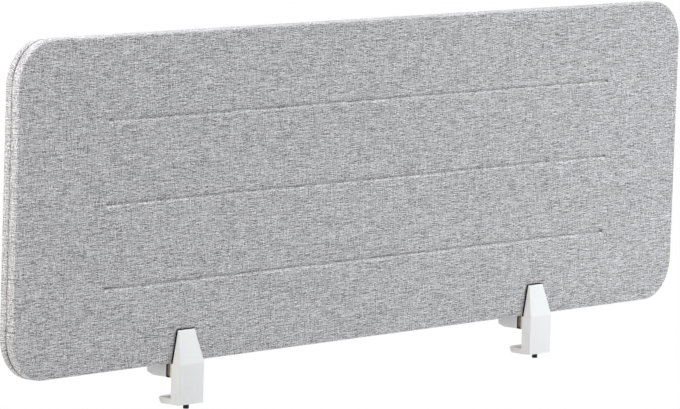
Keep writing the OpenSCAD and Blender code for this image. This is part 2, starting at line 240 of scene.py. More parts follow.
def bore(centre: Sequence[float], radius: float, length: float, plane: Plane) -> Piece:
    """Plain round bar along an axis, used only to cut with.

    Args:
        centre: Middle of the end that it starts from.
        radius: The bar's radius.
        length: How far it reaches.
        plane: Which way its axis runs.

    Returns:
        The bar.
    """
    start = centre[plane.value[2]]
    rings = turned(plane, centre, [(start, radius), (start + length, radius)], BORE_AROUND)
    return loft(rings).to_piece("cutter")


def rounded_outline(corners: Array, radii: Array, inset: float = 0.0, steps: int = 5) -> Array:
    """Outline whose corners are arcs, taken in alike along every edge.

    At each corner the arc's centre lies on the bisector, a radius over the sine of half the corner away,
    and the arc runs between the feet of its perpendiculars on the two edges.

    Args:
        corners: The outline's corners, counter-clockwise, as (corner, 2).
        radii: Each corner's radius before the inset.
        inset: How far the outline is taken in.
        steps: Arc steps at each corner.

    Returns:
        The outline's points, steps + 1 for each corner.
    """
    ahead = np.roll(corners, -1, 0) - corners
    ahead /= np.linalg.norm(ahead, axis=1, keepdims=True)
    behind = np.roll(ahead, 1, 0)
    turn = behind[:, 0] * ahead[:, 1] - behind[:, 1] * ahead[:, 0]
    lean = np.sum(behind * ahead, 1)
    inward = np.stack([-ahead[:, 1], ahead[:, 0]], 1)
    inward_behind = np.roll(inward, 1, 0)
    middle = (inward + inward_behind) / (1 + lean)[:, None]
    bend = np.where(turn >= 0, 1.0, -1.0)
    radius = np.maximum(radii - bend * inset, LEAST_R)
    centre = corners + middle * (inset + bend * radius)[:, None]
    first = -inward_behind * bend[:, None]
    t = np.linspace(0, 1, steps + 1)[None, :] * np.arctan2(turn, lean)[:, None]
    x = first[:, :1] * np.cos(t) - first[:, 1:] * np.sin(t)
    y = first[:, :1] * np.sin(t) + first[:, 1:] * np.cos(t)
    arcs = centre[:, None, :] + radius[:, None, None] * np.stack([x, y], -1)
    return arcs.reshape(-1, 2)


def eased(radius: float, steps: int = 4) -> Array:
    """Quarter round at an edge, from the end on.

    A step is taken in by the radius times one less its sine, and lies the radius times one less its cosine
    from the end.

    Args:
        radius: The quarter round's radius.
        steps: How many steps it has.

    Returns:
        The steps as (inset, distance from the end).
    """
    t = np.linspace(0, np.pi / 2, steps + 1)
    return np.stack([radius * (1 - np.sin(t)), radius * (1 - np.cos(t))], 1)


def prism(
    corners: Any, radii: float | Array, low: float, high: float, plane: Plane, edge: float = 0.3 * MM
) -> Skin:
    """Straight body of a rounded outline, with both its ends eased.

    Args:
        corners: The outline's corners, counter-clockwise, as (corner, 2).
        radii: Corner radius, or one for each corner.
        low: Where the body starts along its length.
        high: Where it ends.
        plane: Which axes the outline and the length lie along.
        edge: Radius of the eased ends.

    Returns:
        The body's surface.
    """
    corners = np.asarray(corners, float)
    each = np.broadcast_to(np.asarray(radii, float), (len(corners),))
    ease = eased(edge)
    stations = [(low + d, i) for i, d in ease] + [(high - d, i) for i, d in ease[::-1]]
    outlines = np.stack([rounded_outline(corners, each, inset) for _, inset in stations])
    rings = np.empty((*outlines.shape[:2], 3))
    first, second, length = plane.value
    rings[..., [first, second]] = outlines
    rings[..., length] = np.array([place for place, _ in stations])[:, None]
    return loft(rings)


def rectangle(x0: float, y0: float, x1: float, y1: float) -> Array:
    """Corners of a rectangle between two opposite ones, counter-clockwise."""
    return np.array([[x0, y0], [x1, y0], [x1, y1], [x0, y1]])


def cutter(outline: Array, low: float, high: float) -> Piece:
    """Plain upright body of an outline, used only to cut with."""
    return prism(outline, CUTTER_R, low, high, Plane.ALONG_Z, CUTTER_EDGE).to_piece("cutter")


def softened(places: Array, at: Sequence[float], values: Sequence[float], reach: float) -> Array:
    """Broken line read at given places and averaged over a short reach, so that its bends are rounded.

    Args:
        places: Where the line is read.
        at: Where the line bends, rising.
        values: The line's value at each bend.
        reach: Half the length that is averaged.

    Returns:
        The line's softened value at each place.
    """
    offsets = np.linspace(-reach, reach, 9)
    return np.interp(places[:, None] + offsets[None, :], at, values).mean(1)


def combine(piece: Piece, others: Sequence[Piece], way: str) -> None:
    """Joins other bodies to a piece or cuts them out of it, and removes them.

    Args:
        piece: The body that is kept.
        others: The bodies that are used up.
        way: UNION or DIFFERENCE.
    """
    for other in others:
        step = piece.modifiers.new("body", "BOOLEAN")
        step.operation, step.object, step.solver = way, other, "EXACT"
    bpy.context.view_layer.update()
    made = bpy.data.meshes.new_from_object(piece.evaluated_get(bpy.context.evaluated_depsgraph_get()))
    piece.modifiers.clear()
    piece.data = made
    for other in others:
        bpy.data.objects.remove(other)
    close_up(piece, SMOOTH)


# Finishes

class Graph:
    """Nodes of one material or of the world."""

    def __init__(self, tree: bpy.types.NodeTree) -> None:
        """Starts with an empty tree."""
        self.tree = tree
        self.tree.nodes.clear()

    def feed(self, node: bpy.types.Node, inputs: dict[Any, Any]) -> None:
        """Sets or links inputs of a node.

        Args:
            node: The node.
            inputs: Value or output socket for each input, by name or number, or None to leave it.
        """
        for key, value in inputs.items():
            if isinstance(value, Socket):
                self.tree.links.new(value, node.inputs[key])
            elif value is not None:
                node.inputs[key].default_value = value

    def add(self, kind: str, inputs: dict[Any, Any] | None = None, **settings: Any) -> bpy.types.Node:
        """Adds a node, sets its settings, and sets or links its inputs.

        Args:
            kind: The node's type.
            inputs: Value or output socket for each input, by name or number.
            settings: The node's own settings.

        Returns:
            The new node.
        """
        node = self.tree.nodes.new(kind)
        for key, value in settings.items():
            setattr(node, key, value)
        self.feed(node, inputs or {})
        return node

    def sum(self, way: str, a: Any, b: Any = None, c: Any = None, clamp: bool = False) -> Socket:
        """One step of arithmetic on numbers or sockets, by the Math node's name for it."""
        return self.add("ShaderNodeMath", {0: a, 1: b, 2: c}, operation=way, use_clamp=clamp).outputs[0]

    def times(self, a: Any, b: Any) -> Socket:
        """Product of two numbers or sockets."""
        return self.sum("MULTIPLY", a, b)

    def triple(self, x: Any, y: Any, z: Any) -> Socket:
        """A place of three numbers or sockets."""
        return self.add("ShaderNodeCombineXYZ", {0: x, 1: y, 2: z}).outputs[0]

    def object_place(self) -> Socket:
        """The point's place in the piece's own axes."""
        return self.add("ShaderNodeTexCoord").outputs["Object"]

    def stretched(self, place: Socket, scale: Sequence[float]) -> Socket:
        """A place whose three axes are scaled each by its own number."""
        return self.add("ShaderNodeMapping", {"Vector": place, "Scale": scale}).outputs[0]

    def noise(self, place: Socket, scale: float = 1.0, detail: float = 2.0, rough: float = 0.5) -> Socket:
        """Smooth noise from about 0 to 1 at a place."""
        inputs = {"Vector": place, "Scale": scale, "Detail": detail, "Roughness": rough}
        return self.add("ShaderNodeTexNoise", inputs, noise_dimensions="3D").outputs["Fac"]

    def spread(
        self, value: Any, low: float, high: float, to_low: float = 0.0, to_high: float = 1.0
    ) -> Socket:
        """A value moved from one range to another and kept within it."""
        inputs = {"Value": value, 1: low, 2: high, 3: to_low, 4: to_high}
        return self.add("ShaderNodeMapRange", inputs, clamp=True).outputs[0]

    def mixed(self, share: Any, a: Any, b: Any, way: str = "MIX") -> Socket:
        """Two colours mixed by a share, each a socket or a plain colour."""
        a, b = (value if isinstance(value, Socket) else (*value, 1.0) for value in (a, b))
        return self.add("ShaderNodeMix", {0: share, 6: a, 7: b}, data_type="RGBA", blend_type=way).outputs[2]

    def blend(self, share: Any, a: Any, b: Any) -> Socket:
        """Two numbers mixed by a share, from the first to the second."""
        return self.add("ShaderNodeMix", {0: share, 2: a, 3: b}, data_type="FLOAT").outputs[0]

    def white_share(self) -> Socket:
        """How much shows as plain white.

        Returns:
            One for camera, glossy and transmission rays, else zero.
        """
        ray = self.add("ShaderNodeLightPath").outputs
        seen = self.sum("MAXIMUM", ray["Is Camera Ray"], ray["Is Glossy Ray"])
        return self.sum("MAXIMUM", seen, ray["Is Transmission Ray"])

    def either(self, share: Socket, a: bpy.types.Node, b: bpy.types.Node) -> bpy.types.Node:
        """Two shaders mixed by a share, from the first to the second."""
        return self.add("ShaderNodeMixShader", {0: share, 1: a.outputs[0], 2: b.outputs[0]})


class Surface(Graph):
    """Nodes of one material round its surface shader."""

    def __init__(self, name: str, roughness: float, metallic: float = 0.0) -> None:
        """Starts a material with a bare shader.

        Args:
            name: The material's name.
            roughness: The shader's own roughness, unless nodes drive it.
            metallic: The shader's own metalness.
        """
        self.material = bpy.data.materials.new(name)
        self.material.use_nodes = True
        super().__init__(self.material.node_tree)
        self.shader = self.add("ShaderNodeBsdfPrincipled", {"Roughness": roughness, "Metallic": metallic})
        self.output = self.add("ShaderNodeOutputMaterial", {"Surface": self.shader.outputs["BSDF"]})

    def relief(self, height: Socket, depth: float, strength: float = 1.0) -> Socket:
        """Normals of a height from 0 to 1 that is raised by a depth in metres."""
        inputs = {"Height": height, "Distance": depth, "Strength": strength}
        return self.add("ShaderNodeBump", inputs).outputs[0]

    def finished(self, **inputs: Any) -> bpy.types.Material:
        """Feeds the shader's sockets, named with underscores for spaces, and hands out the material."""
        self.feed(self.shader, {key.replace("_", " "): value for key, value in inputs.items()})
        return self.material


@dataclass(frozen=True)
class Moulded:
    """Paint, plastic or rubber: an even colour with soft mottling and a fine skin texture."""

    name: str
    light: Triple
    dark: Triple
    roughness: float
    grain_size: float = 0.6 * MM
    grain_depth: float = 0.02 * MM
    specular: float = 0.5
    mottle_size: float = 9 * MM
    gloss_swing: float = 0.06

    def material(self) -> bpy.types.Material:
        """Builds the material: broad mottling between two colours, a fine relief and uneven gloss.

        Returns:
            The material.
        """
        graph = Surface(self.name, self.roughness)
        place = graph.object_place()
        mottle = graph.noise(place, 1 / self.mottle_size, 3.0, 0.6)
        patchy = graph.noise(place, 3 / self.mottle_size)
        low, high = self.roughness - self.gloss_swing, self.roughness + self.gloss_swing
        return graph.finished(
            Base_Color=graph.mixed(graph.spread(mottle, 0.3, 0.7), self.dark, self.light),
            Roughness=graph.spread(patchy, 0.3, 0.7, low, high),
            Normal=graph.relief(graph.noise(place, 1 / self.grain_size, 2.0, 0.6), self.grain_depth),
            Specular_IOR_Level=self.specular,
        )


@dataclass(frozen=True)
class Streaked:
    """Cast or plated metal: fine streaks of light and dark with soft stains."""

    name: str
    light: Triple
    dark: Triple
    roughness: float
    metallic: float
    streak: Triple = (1 / MM, 1 / MM, 1 / (0.4 * MM))
    specular: float = 0.5
    stain_size: float = 7 * MM
    stain_share: float = 0.35
    gloss_swing: float = 0.1
    relief: float = 0.03 * MM

    def material(self) -> bpy.types.Material:
        """Builds the material from a noise stretched along the streaks and an even one for the stains.

        Returns:
            The material.
        """
        graph = Surface(self.name, self.roughness, self.metallic)
        place = graph.object_place()
        fine = graph.noise(graph.stretched(place, self.streak), 1.0, 3.0, 0.65)
        stain = graph.noise(place, 1 / self.stain_size, 3.0, 0.6)
        streaks, stains = graph.times(fine, 1 - self.stain_share), graph.times(stain, self.stain_share)
        share = graph.sum("ADD", streaks, stains)
        low, high = self.roughness - self.gloss_swing, self.roughness + self.gloss_swing
        return graph.finished(
            Base_Color=graph.mixed(graph.spread(share, 0.36, 0.64), self.dark, self.light),
            Roughness=graph.spread(fine, 0.3, 0.7, low, high),
            Normal=graph.relief(fine, self.relief),
            Specular_IOR_Level=self.specular,
        )


@dataclass(frozen=True)
class Melange:
    """Light grey melange cloth: a plain weave whose every thread changes shade along its own length."""

    name: str = "cover_melange"
    base: Triple = (0.497, 0.486, 0.498)
    pitch: float = 1.55 * MM
    fleck: float = 4.4 * MM
    slub: float = 20 * MM
    slub_share: float = 0.58
    weft_contrast: float = 0.77
    warp_contrast: float = 0.55
    darkest: float = 0.1
    palest: float = 1.8
    pale_soft: float = 0.4
    pairing: float = 0.85
    pair: float = 7 * MM
    weave_shade: float = 0.4
    crimp: float = 0.5
    hair: float = 0.13 * MM
    hair_l: float = 1.1 * MM
    hair_shade: float = 0.14
    hair_rise: float = 0.4
    twist: float = 0.3
    wander: float = 1.6 * MM
    wander_size: float = 40 * MM
    cloud: float = 0.03
    cloud_size: float = 45 * MM
    relief: float = 0.2 * MM
    # How far the rim attribute's painted light and shade lighten or darken the cloth
    painted_gain: float = 0.25
    rim_calm: float = 0.2
    roughness: float = 0.92
    weft_seed: float = 3.7
    warp_seed: float = 11.3
    scatter: float = 400.0
    thread_step: float = 3.17
    pair_step: float = 5.31
    noise_swing: float = 0.17

    def material(self) -> bpy.types.Material:
        """Builds the cloth on its own flat coordinates, in metres.

        The threads lie a pitch apart, weft threads up the cloth and warp threads across it, and both wander a
        little. A thread's height is its sine's size, more or less the product of both sines, so that weft and
        warp take turns on top. The higher of the two shows its shade and its fibres, and is painted darker in
        the hollows as shade between the threads. Where the mesh's rim attribute is one, the cloth is painted
        paler as a highlight and its threads are more even; where it is below zero, it is painted darker as
        shade.

        Returns:
            The material.
        """
        graph = Surface(self.name, self.roughness)
        flat = graph.add("ShaderNodeUVMap", uv_map="cloth").outputs[0]
        wobble = graph.noise(flat, 1 / self.wander_size, 5.0, 0.64)
        split = graph.add("ShaderNodeSeparateXYZ", {0: flat})
        drift = graph.times(graph.sum("SUBTRACT", wobble, 0.5), self.wander)
        across, up = (
            graph.sum("DIVIDE", graph.sum("ADD", split.outputs[k], drift), self.pitch) for k in (0, 1)
        )
        warp_wave, weft_wave = (graph.sum("SINE", graph.times(count, math.pi)) for count in (across, up))
        rise = graph.times(graph.times(warp_wave, weft_wave), self.crimp)
        weft_top = graph.sum("ADD", graph.sum("ABSOLUTE", weft_wave), rise)
        warp_top = graph.sum("SUBTRACT", graph.sum("ABSOLUTE", warp_wave), rise)
        on_top = graph.spread(graph.sum("SUBTRACT", weft_top, warp_top), -0.2, 0.2, 0.05)
        crown = graph.sum("MAXIMUM", weft_top, warp_top)
        weft = self.thread(graph, up, split.outputs[0], self.weft_seed, self.weft_contrast)
        warp = self.thread(graph, across, split.outputs[1], self.warp_seed, self.warp_contrast)
        thread = graph.blend(on_top, warp, weft)
        fibres = graph.blend(on_top, self.fibres(graph, flat, math.pi / 2), self.fibres(graph, flat, 0.0))
        # Painted shade: the weave's hollows between the threads are drawn darker
        hollow = graph.spread(crown, 0.1, 1.3, 1 - self.weave_shade, 1 + self.weave_shade / 2)
        hair = graph.spread(fibres, 0.3, 0.7, 1 - self.hair_shade, 1 + self.hair_shade)
        clouds = graph.noise(flat, 1 / self.cloud_size, 3.0, 0.6)
        broad = graph.spread(clouds, 0.25, 0.75, 1 - self.cloud, 1 + self.cloud)
        # The rim attribute's painted light and shade, from the mesh
        rim = graph.add("ShaderNodeAttribute", attribute_name="rim").outputs["Fac"]
        taut = graph.sum("SUBTRACT", 1.0, graph.sum("MULTIPLY", rim, self.rim_calm, clamp=True))
        woven = graph.sum("MULTIPLY_ADD", graph.sum("SUBTRACT", thread, 1.0), taut, 1.0)
        shade = graph.times(graph.times(woven, broad), graph.times(hollow, hair))
        # Painted light and shade: the cloth is painted paler where the rim attribute is above zero and darker
        # below
        shade = graph.times(shade, graph.sum("MULTIPLY_ADD", rim, self.painted_gain, 1.0))
        grey = graph.add("ShaderNodeCombineColor", {0: shade, 1: shade, 2: shade}).outputs[0]
        return graph.finished(
            Base_Color=graph.mixed(1.0, self.base, grey, "MULTIPLY"),
            Normal=graph.relief(graph.sum("MULTIPLY_ADD", fibres, self.hair_rise, crown), self.relief, 0.7),
            Sheen_Weight=0.18, Sheen_Roughness=0.5, Specular_IOR_Level=0.2,
        )

    def fibres(self, graph: Graph, flat: Socket, turn: float) -> Socket:
        """Fine fibres that wind along one set of threads.

        Args:
            graph: The material's nodes.
            flat: The place on the flat cloth.
            turn: How far the threads are turned from the cloth's own X.

        Returns:
            The fibres' height, from about 0 to 1.
        """
        laid = graph.add("ShaderNodeMapping", {
            "Vector": flat, "Rotation": (0.0, 0.0, turn + self.twist), "Scale": (self.hair_l, self.hair, 1.0),
        }, vector_type="TEXTURE")
        return graph.noise(laid.outputs[0], 1.0, 3.0, 0.6)

    def thread(self, graph: Graph, count: Any, along: Any, seed: float, contrast: float) -> Socket:
        """Shade along each thread of one set: short flecks over longer slubs.

        Each thread reads the noises at a place of its own. How far they stray from their middle is scaled by
        the contrast over a noise's usual swing. A third noise is added to every other thread and
        taken from the one beside it, so that neighbours differ. Pale threads level off softly.

        Args:
            graph: The material's nodes.
            count: Place across the threads, in threads.
            along: Place along the threads, in metres.
            seed: Keeps the two sets of threads apart.
            contrast: How far the shade strays from one.

        Returns:
            The shade, about one less the contrast to one plus it.
        """
        number = graph.sum("FLOOR", count)
        seeded = {"W": graph.sum("ADD", number, seed)}
        chance = graph.add("ShaderNodeTexWhiteNoise", seeded, noise_dimensions="1D").outputs[0]
        start, row = graph.times(chance, self.scatter), graph.times(number, self.thread_step)
        parts = []
        for length, share in ((self.fleck, 1 - self.slub_share), (self.slub, self.slub_share)):
            place = graph.triple(graph.sum("MULTIPLY_ADD", along, 1 / length, start), row, seed + share)
            parts.append(graph.times(graph.noise(place, 1.0, 1.0), share))
        shade = graph.sum("SUBTRACT", graph.sum("ADD", *parts), 0.5)
        couple = graph.sum("FLOOR", graph.times(number, 0.5))
        row = graph.times(couple, self.pair_step)
        place = graph.triple(graph.sum("DIVIDE", along, self.pair), row, seed + 2.0)
        odd = graph.sum("MULTIPLY_ADD", graph.sum("FLOORED_MODULO", number, 2.0), 2.0, -1.0)
        twin = graph.times(graph.sum("SUBTRACT", graph.noise(place, 1.0, 1.0), 0.5), odd)
        shade = graph.sum("MULTIPLY_ADD", twin, self.pairing, shade)
        shade = graph.sum("MULTIPLY_ADD", shade, contrast / self.noise_swing, 1.0)
        return graph.sum("SMOOTH_MIN", graph.sum("MAXIMUM", shade, self.darkest), self.palest, self.pale_soft)


@dataclass(frozen=True)
class Fibrous:
    """Felt or wadding: a mat of short fibres that lie every way, seen as two crossed sets of fine streaks."""

    name: str
    light: Triple
    dark: Triple
    fibre: float
    depth: float
    roughness: float = 0.95
    length_shares: tuple[int, int, int] = (1, 4, 9)

    def material(self) -> bpy.types.Material:
        """Builds the mat from two noises, each stretched along another diagonal.

        Returns:
            The material.
        """
        graph = Surface(self.name, self.roughness)
        place = graph.object_place()
        scale = [n / self.fibre for n in self.length_shares]
        sets = []
        for lean in (0.7, -0.9):
            inputs = {"Vector": place, "Rotation": (0.3, lean, 0.2), "Scale": scale}
            laid = graph.add("ShaderNodeMapping", inputs)
            sets.append(graph.noise(laid.outputs[0], 1.0, 4.0, 0.7))
        mat = graph.sum("MAXIMUM", *sets)
        return graph.finished(
            Base_Color=graph.mixed(graph.spread(mat, 0.4, 0.75), self.dark, self.light),
            Normal=graph.relief(mat, self.depth),
            Sheen_Weight=0.3, Sheen_Roughness=0.6, Specular_IOR_Level=0.15,
        )


@dataclass(frozen=True)
class Timber:
    """Planed softwood: year rings cut along the grain, with fine pores."""

    grain: Grain
    early: Triple = (0.66, 0.49, 0.30)
    late: Triple = (0.46, 0.29, 0.14)
    rings: float = 46.0
    ring_w: float = 14 * MM
    ring_l: float = 420 * MM
    pore_w: float = 0.5 * MM
    pore_l: float = 14 * MM
    pore_depth: float = 0.05 * MM
    roughness: float = 0.62

    def material(self) -> bpy.types.Material:
        """Builds the wood from a noise that is far longer along the grain, bent into rings by a sine.

        Returns:
            The material.
        """
        graph = Surface(f"timber_{self.grain.name.lower()}", self.roughness)
        place = graph.object_place()
        trunk = graph.noise(self.along_grain(graph, place, self.ring_w, self.ring_l), 1.0, 2.0, 0.45)
        fine = graph.noise(self.along_grain(graph, place, self.pore_w, self.pore_l), 1.0, 3.0, 0.6)
        ring = graph.spread(graph.sum("SINE", graph.times(trunk, self.rings)), -0.6, 1.0, 0.0, 0.75)
        share = graph.sum("ADD", ring, graph.spread(fine, 0.4, 0.7, 0.0, 0.35))
        return graph.finished(
            Base_Color=graph.mixed(share, self.early, self.late), Normal=graph.relief(fine, self.pore_depth)
        )

    def along_grain(self, graph: Graph, place: Socket, width: float, length: float) -> Socket:
        """A place counted in widths across the grain and in lengths along it.

        Args:
            graph: The material's nodes.
            place: The place in metres.
            width: What counts as one across the grain.
            length: What counts as one along it.

        Returns:
            The counted place.
        """
        scale = [1 / width] * 3
        scale[self.grain.value] = 1 / length
        return graph.stretched(place, scale)


class Finishes:
    """Every finish of the object, each built once and handed out by the record's slot for it."""

    def __init__(self) -> None:
        """Builds all the materials. Timber has one for each way that its grain runs."""
        made = {
            "cover_fabric": Melange(),
            "pressed_felt": Fibrous(
                "pressed_felt_grey", (0.50, 0.50, 0.51), (0.30, 0.30, 0.31), 5 * MM, 0.15 * MM),
            "wadding": Fibrous(
                "wadding_loose", (0.88, 0.87, 0.84), (0.66, 0.65, 0.61), 14 * MM, 0.8 * MM),
            "white_paint": Moulded(
                "white_paint_satin", (0.876, 0.876, 0.876), (0.858, 0.858, 0.855), 0.5, 0.9 * MM, 0.012 * MM),
            "black_rubber": Moulded(
                "black_rubber_matte", (0.02, 0.02, 0.021), (0.012, 0.012, 0.013), 0.8,
                grain_depth=0.03 * MM, specular=0.15),
            "grey_rubber": Moulded(
                "grey_rubber_matte", (0.70, 0.70, 0.672), (0.635, 0.635, 0.607), 0.8,
                grain_depth=0.04 * MM, specular=0.3),
            "cream_plastic": Moulded(
                "cream_plastic_satin", (0.68, 0.645, 0.57), (0.645, 0.605, 0.525), 0.5),
            "black_plastic": Moulded(
                "black_plastic_satin", (0.016, 0.016, 0.017), (0.010, 0.010, 0.011), 0.5,
                grain_depth=0.03 * MM, specular=0.2),
            "cast_metal": Streaked(
                "cast_metal_dull", (0.27, 0.25, 0.21), (0.12, 0.105, 0.086), 0.5, 0.55,
                (1 / (3 * MM), 1 / (0.7 * MM), 1 / (9 * MM))),
            "black_steel": Streaked(
                "black_oxide_steel", (0.022, 0.022, 0.024), (0.010, 0.010, 0.011), 0.38, 0.5, specular=0.25),
            "zinc_steel": Streaked(
                "zinc_plated_steel", (0.66, 0.67, 0.66), (0.46, 0.46, 0.44), 0.34, 0.9),
            Grain.ALONG_X: Timber(Grain.ALONG_X),
            Grain.ALONG_Z: Timber(Grain.ALONG_Z),
        }
        self.by_slot = {slot: finish.material() for slot, finish in made.items()}

    def dress(self, piece: Piece, slot: str | Grain) -> None:
        """Gives a piece one finish all over."""
        piece.data.materials.clear()
        piece.data.materials.append(self.by_slot[slot])

    def settle(self, piece: Piece, body: str, slot: str, *nodes: str) -> None:
        """Dresses a finished piece, puts it in the frame and reports it.

        Args:
            piece: The piece, in place.
            body: The frame body that it moves with.
            slot: The record's material slot that its finish comes from.
            nodes: The frame nodes that it stands for.
        """
        self.dress(piece, slot)
        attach(piece, body)
        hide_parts(*nodes)
        LOG.info("%s: %d faces, with body %s", piece.name, len(piece.data.polygons), body)


# The panel

@dataclass(frozen=True)
class Spacing:
    """Grid lines: the widest gap between them, and how many fine ones reach how far round a place."""

    step: float
    reach: float
    count: int


@dataclass
class Panel:
    """Two cloth-covered felt halves round a timber frame filled with wadding."""

    finishes: Finishes
    corner_r: float = 68 * MM
    corner_steps: int = 16
    edge_r: float = 4.6 * MM
    seam_r: float = 2 * MM
    seam_gap: float = 0.05 * MM
    # Painted shade in the seam: how far it reaches, how dark it is drawn, and how much darker at the corners
    seam_reach: float = 2.6 * MM
    seam_shade: float = 2.3
    corner_shade: float = 2.6
    corner_share: float = 0.29
    # Painted highlight on the rim: the depth in its round where the cloth starts to be drawn paler, and how
    # far on it is fully pale
    fold_from: float = 0.3 * MM
    fold_reach: float = 1 * MM
    # Painted shade in the grooves, and a painted highlight on their lower lips, drawn a drop below each
    # groove's line
    groove_shade: float = 0.75
    lip_highlight: float = 1.0
    lip_drop: float = 3.4 * MM
    cloth_t: float = 1.2 * MM
    felt_t: float = 4 * MM
    felt_sill: float = 2 * MM
    frame_gap: float = 0.2 * MM
    groove_r: float = 2.6 * MM
    groove_deep: float = 2 * MM
    groove_w: float = 2.3 * MM
    groove_grow: float = 0.2
    end_reach: float = 5 * MM
    end_press: float = 0.8
    end_wide: float = 0.3
    groove_margin: float = 194 * MM
    groove_count: int = 3
    line_gap: float = 1.5 * MM
    face_across: Spacing = Spacing(28 * MM, 9 * MM, 19)
    face_up: Spacing = Spacing(22 * MM, 8 * MM, 33)
    rear_flat: tuple[float, float] = (3.0, 1.0)
    batt_uneven: float = 0.5 * MM
    batt_across: Spacing = Spacing(22 * MM, 12 * MM, 9)
    batt_up: Spacing = Spacing(18 * MM, 8 * MM, 17)
    batt_edge: tuple[float, float, int] = (0.4 * MM, 12 * MM, 8)

    def __post_init__(self) -> None:
        """Reads the panel's place and size from the frame's two cloth nodes."""
        self.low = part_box("front_fabric")[0]
        self.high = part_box("rear_fabric")[1]
        self.mid_z = (self.low.z + self.high.z) / 2
        self.width = self.high.x - self.low.x
        self.height = self.high.z - self.low.z
        self.half_t = (self.high.y - self.low.y) / 2
        self.wall = self.cloth_t + self.felt_t
        self.groove_half = self.width / 2 - self.groove_margin - self.groove_r
        parts = self.groove_count + 1
        self.groove_places = [self.height * i / parts - self.height / 2 for i in range(1, parts)]

    def groove(self, x: Array, z: Array, inset: float) -> Array:
        """Depth of the pressed grooves below a surface that lies an inset under the face.

        The cloth bridges the sharp lips of the groove, so its section is a bell: the groove's depth times e
        to the minus square of the distance from the groove's line over a width that grows with the inset.
        Near its two ends the groove is pressed deeper and wider, by a second bell along the panel.

        Args:
            x: Places along the panel from its middle.
            z: Places up the panel from its middle.
            inset: How far the surface lies under the face.

        Returns:
            The depth at each place.
        """
        past = np.maximum(np.abs(x) - self.groove_half, 0)
        away = np.min([np.hypot(past, z - place) for place in self.groove_places], axis=0)
        end = np.exp(-(((np.abs(x) - self.groove_half) / self.end_reach) ** 2))
        deep = self.groove_deep * (1 + self.end_press * end * np.exp(-((inset / self.felt_t) ** 2)))
        wide = (self.groove_w + self.groove_grow * inset) * (1 + self.end_wide * end)
        return deep * np.exp(-((away / wide) ** 2))

    def lines(self, half: float, centres: Sequence[float], spacing: Spacing) -> Array:
        """Grid lines from -half to half, with fine ones round given centres and wide ones between.

        Args:
            half: Half the length that the lines cross.
            centres: Where fine lines are wanted.
            spacing: How the lines are spaced.

        Returns:
            The lines' places, rising.
        """
        fine = np.linspace(-spacing.reach, spacing.reach, spacing.count)
        near = np.concatenate([centre + fine for centre in centres])
        wide = np.linspace(-half, half, int(2 * half / spacing.step) + 1)
        clear = np.min(np.abs(wide[:, None] - near[None, :]), 1) > self.line_gap
        clear[[0, -1]] = True
        return np.unique(np.round(np.concatenate([near, wide[clear]]), 7))

    def rim(self, across: Array, up: Array) -> tuple[Array, Array]:
        """Points round the middle field and the way outwards at each, once round.

        Args:
            across: The field's lines along X.
            up: The field's lines along Z.

        Returns:
            The points on the field's border, and the outward directions, both as (point, 2).
        """
        bottom = np.stack([across, np.full_like(across, up[0])], 1)
        right = np.stack([np.full_like(up, across[-1]), up], 1)
        points, angles = [], []
        for quarter, side in enumerate([bottom, right, -bottom, -right]):
            arc = (quarter - 1) * np.pi / 2 + np.linspace(0, np.pi / 2, self.corner_steps + 1)
            points += [side, np.repeat(side[-1:], self.corner_steps - 1, 0)]
            angles += [np.full(len(side), arc[0]), arc[1:-1]]
        angle = np.concatenate(angles)
        return np.concatenate(points), np.stack([np.cos(angle), np.sin(angle)], 1)

    def half_skin(self, stations: Array, outer: float, inner: float, rear: bool) -> Skin:
        """One half's closed wall: the outer skin, the rim's stations and the inner skin.

        Each station is the panel's outline taken in by an inset, at a depth under the face. The outline is
        the middle field's border moved outwards by the corner radius less the inset. The middle field ends
        where the corners' arcs begin. The flat cloth is measured along the stations from the field's border
        outwards.

        Args:
            stations: The wall's section as (inset, depth), from the outer face round to the inner one.
            outer: How far the outer skin lies under the face.
            inner: How far the inner skin lies under the face.
            rear: Whether this is the rear half, which looks the other way.

        Returns:
            The wall's surface.
        """
        ends = [-self.groove_half, self.groove_half]
        across = self.lines(self.width / 2 - self.corner_r, ends, self.face_across)
        up = self.lines(self.height / 2 - self.corner_r, self.groove_places, self.face_up)
        base, way = self.rim(across, up)
        reach = self.corner_r - stations[:, 0]
        spans = np.hypot(*np.diff(stations, axis=0).T)
        turn = int(np.argmax(stations[:, 1]))
        lengths = reach[0] + np.concatenate([[0], np.cumsum(spans)])
        lengths[turn + 1:] = 2 * lengths[turn] - lengths[turn + 1:]
        plan, cloth = (base[None] + way[None] * far[:, None, None] for far in (reach, lengths))
        depth = np.broadcast_to(stations[:, 1][:, None], plan.shape[:2])
        x, z = np.meshgrid(across, up)
        middle = np.stack([x, z], -1).reshape(-1, 2)
        borders, sheets = (
            [np.column_stack([at, inset + self.groove(*at.T, inset)]) for inset in (outer, inner)]
            for at in (base, middle)
        )
        rings = np.concatenate([plan, depth[..., None]], -1).reshape(-1, 3)
        points = np.concatenate([borders[0], rings, borders[1], *sheets])
        flat = np.concatenate([base, cloth.reshape(-1, 2), base, middle, middle])
        around, rows = len(base), len(stations) + 2
        faces = grid_faces(rows, around, wrap=True)
        for k in range(2):
            faces += grid_faces(len(up), len(across), start=rows * around + k * len(middle))
        y = self.high.y - points[:, 2] if rear else self.low.y + points[:, 2]
        if rear:
            flat = flat + self.rear_flat
        placed = np.stack([points[:, 0], y, self.mid_z + points[:, 1]], 1)
        return Skin(placed, faces, flat, self.painted_light_and_shade(points, rows * around))

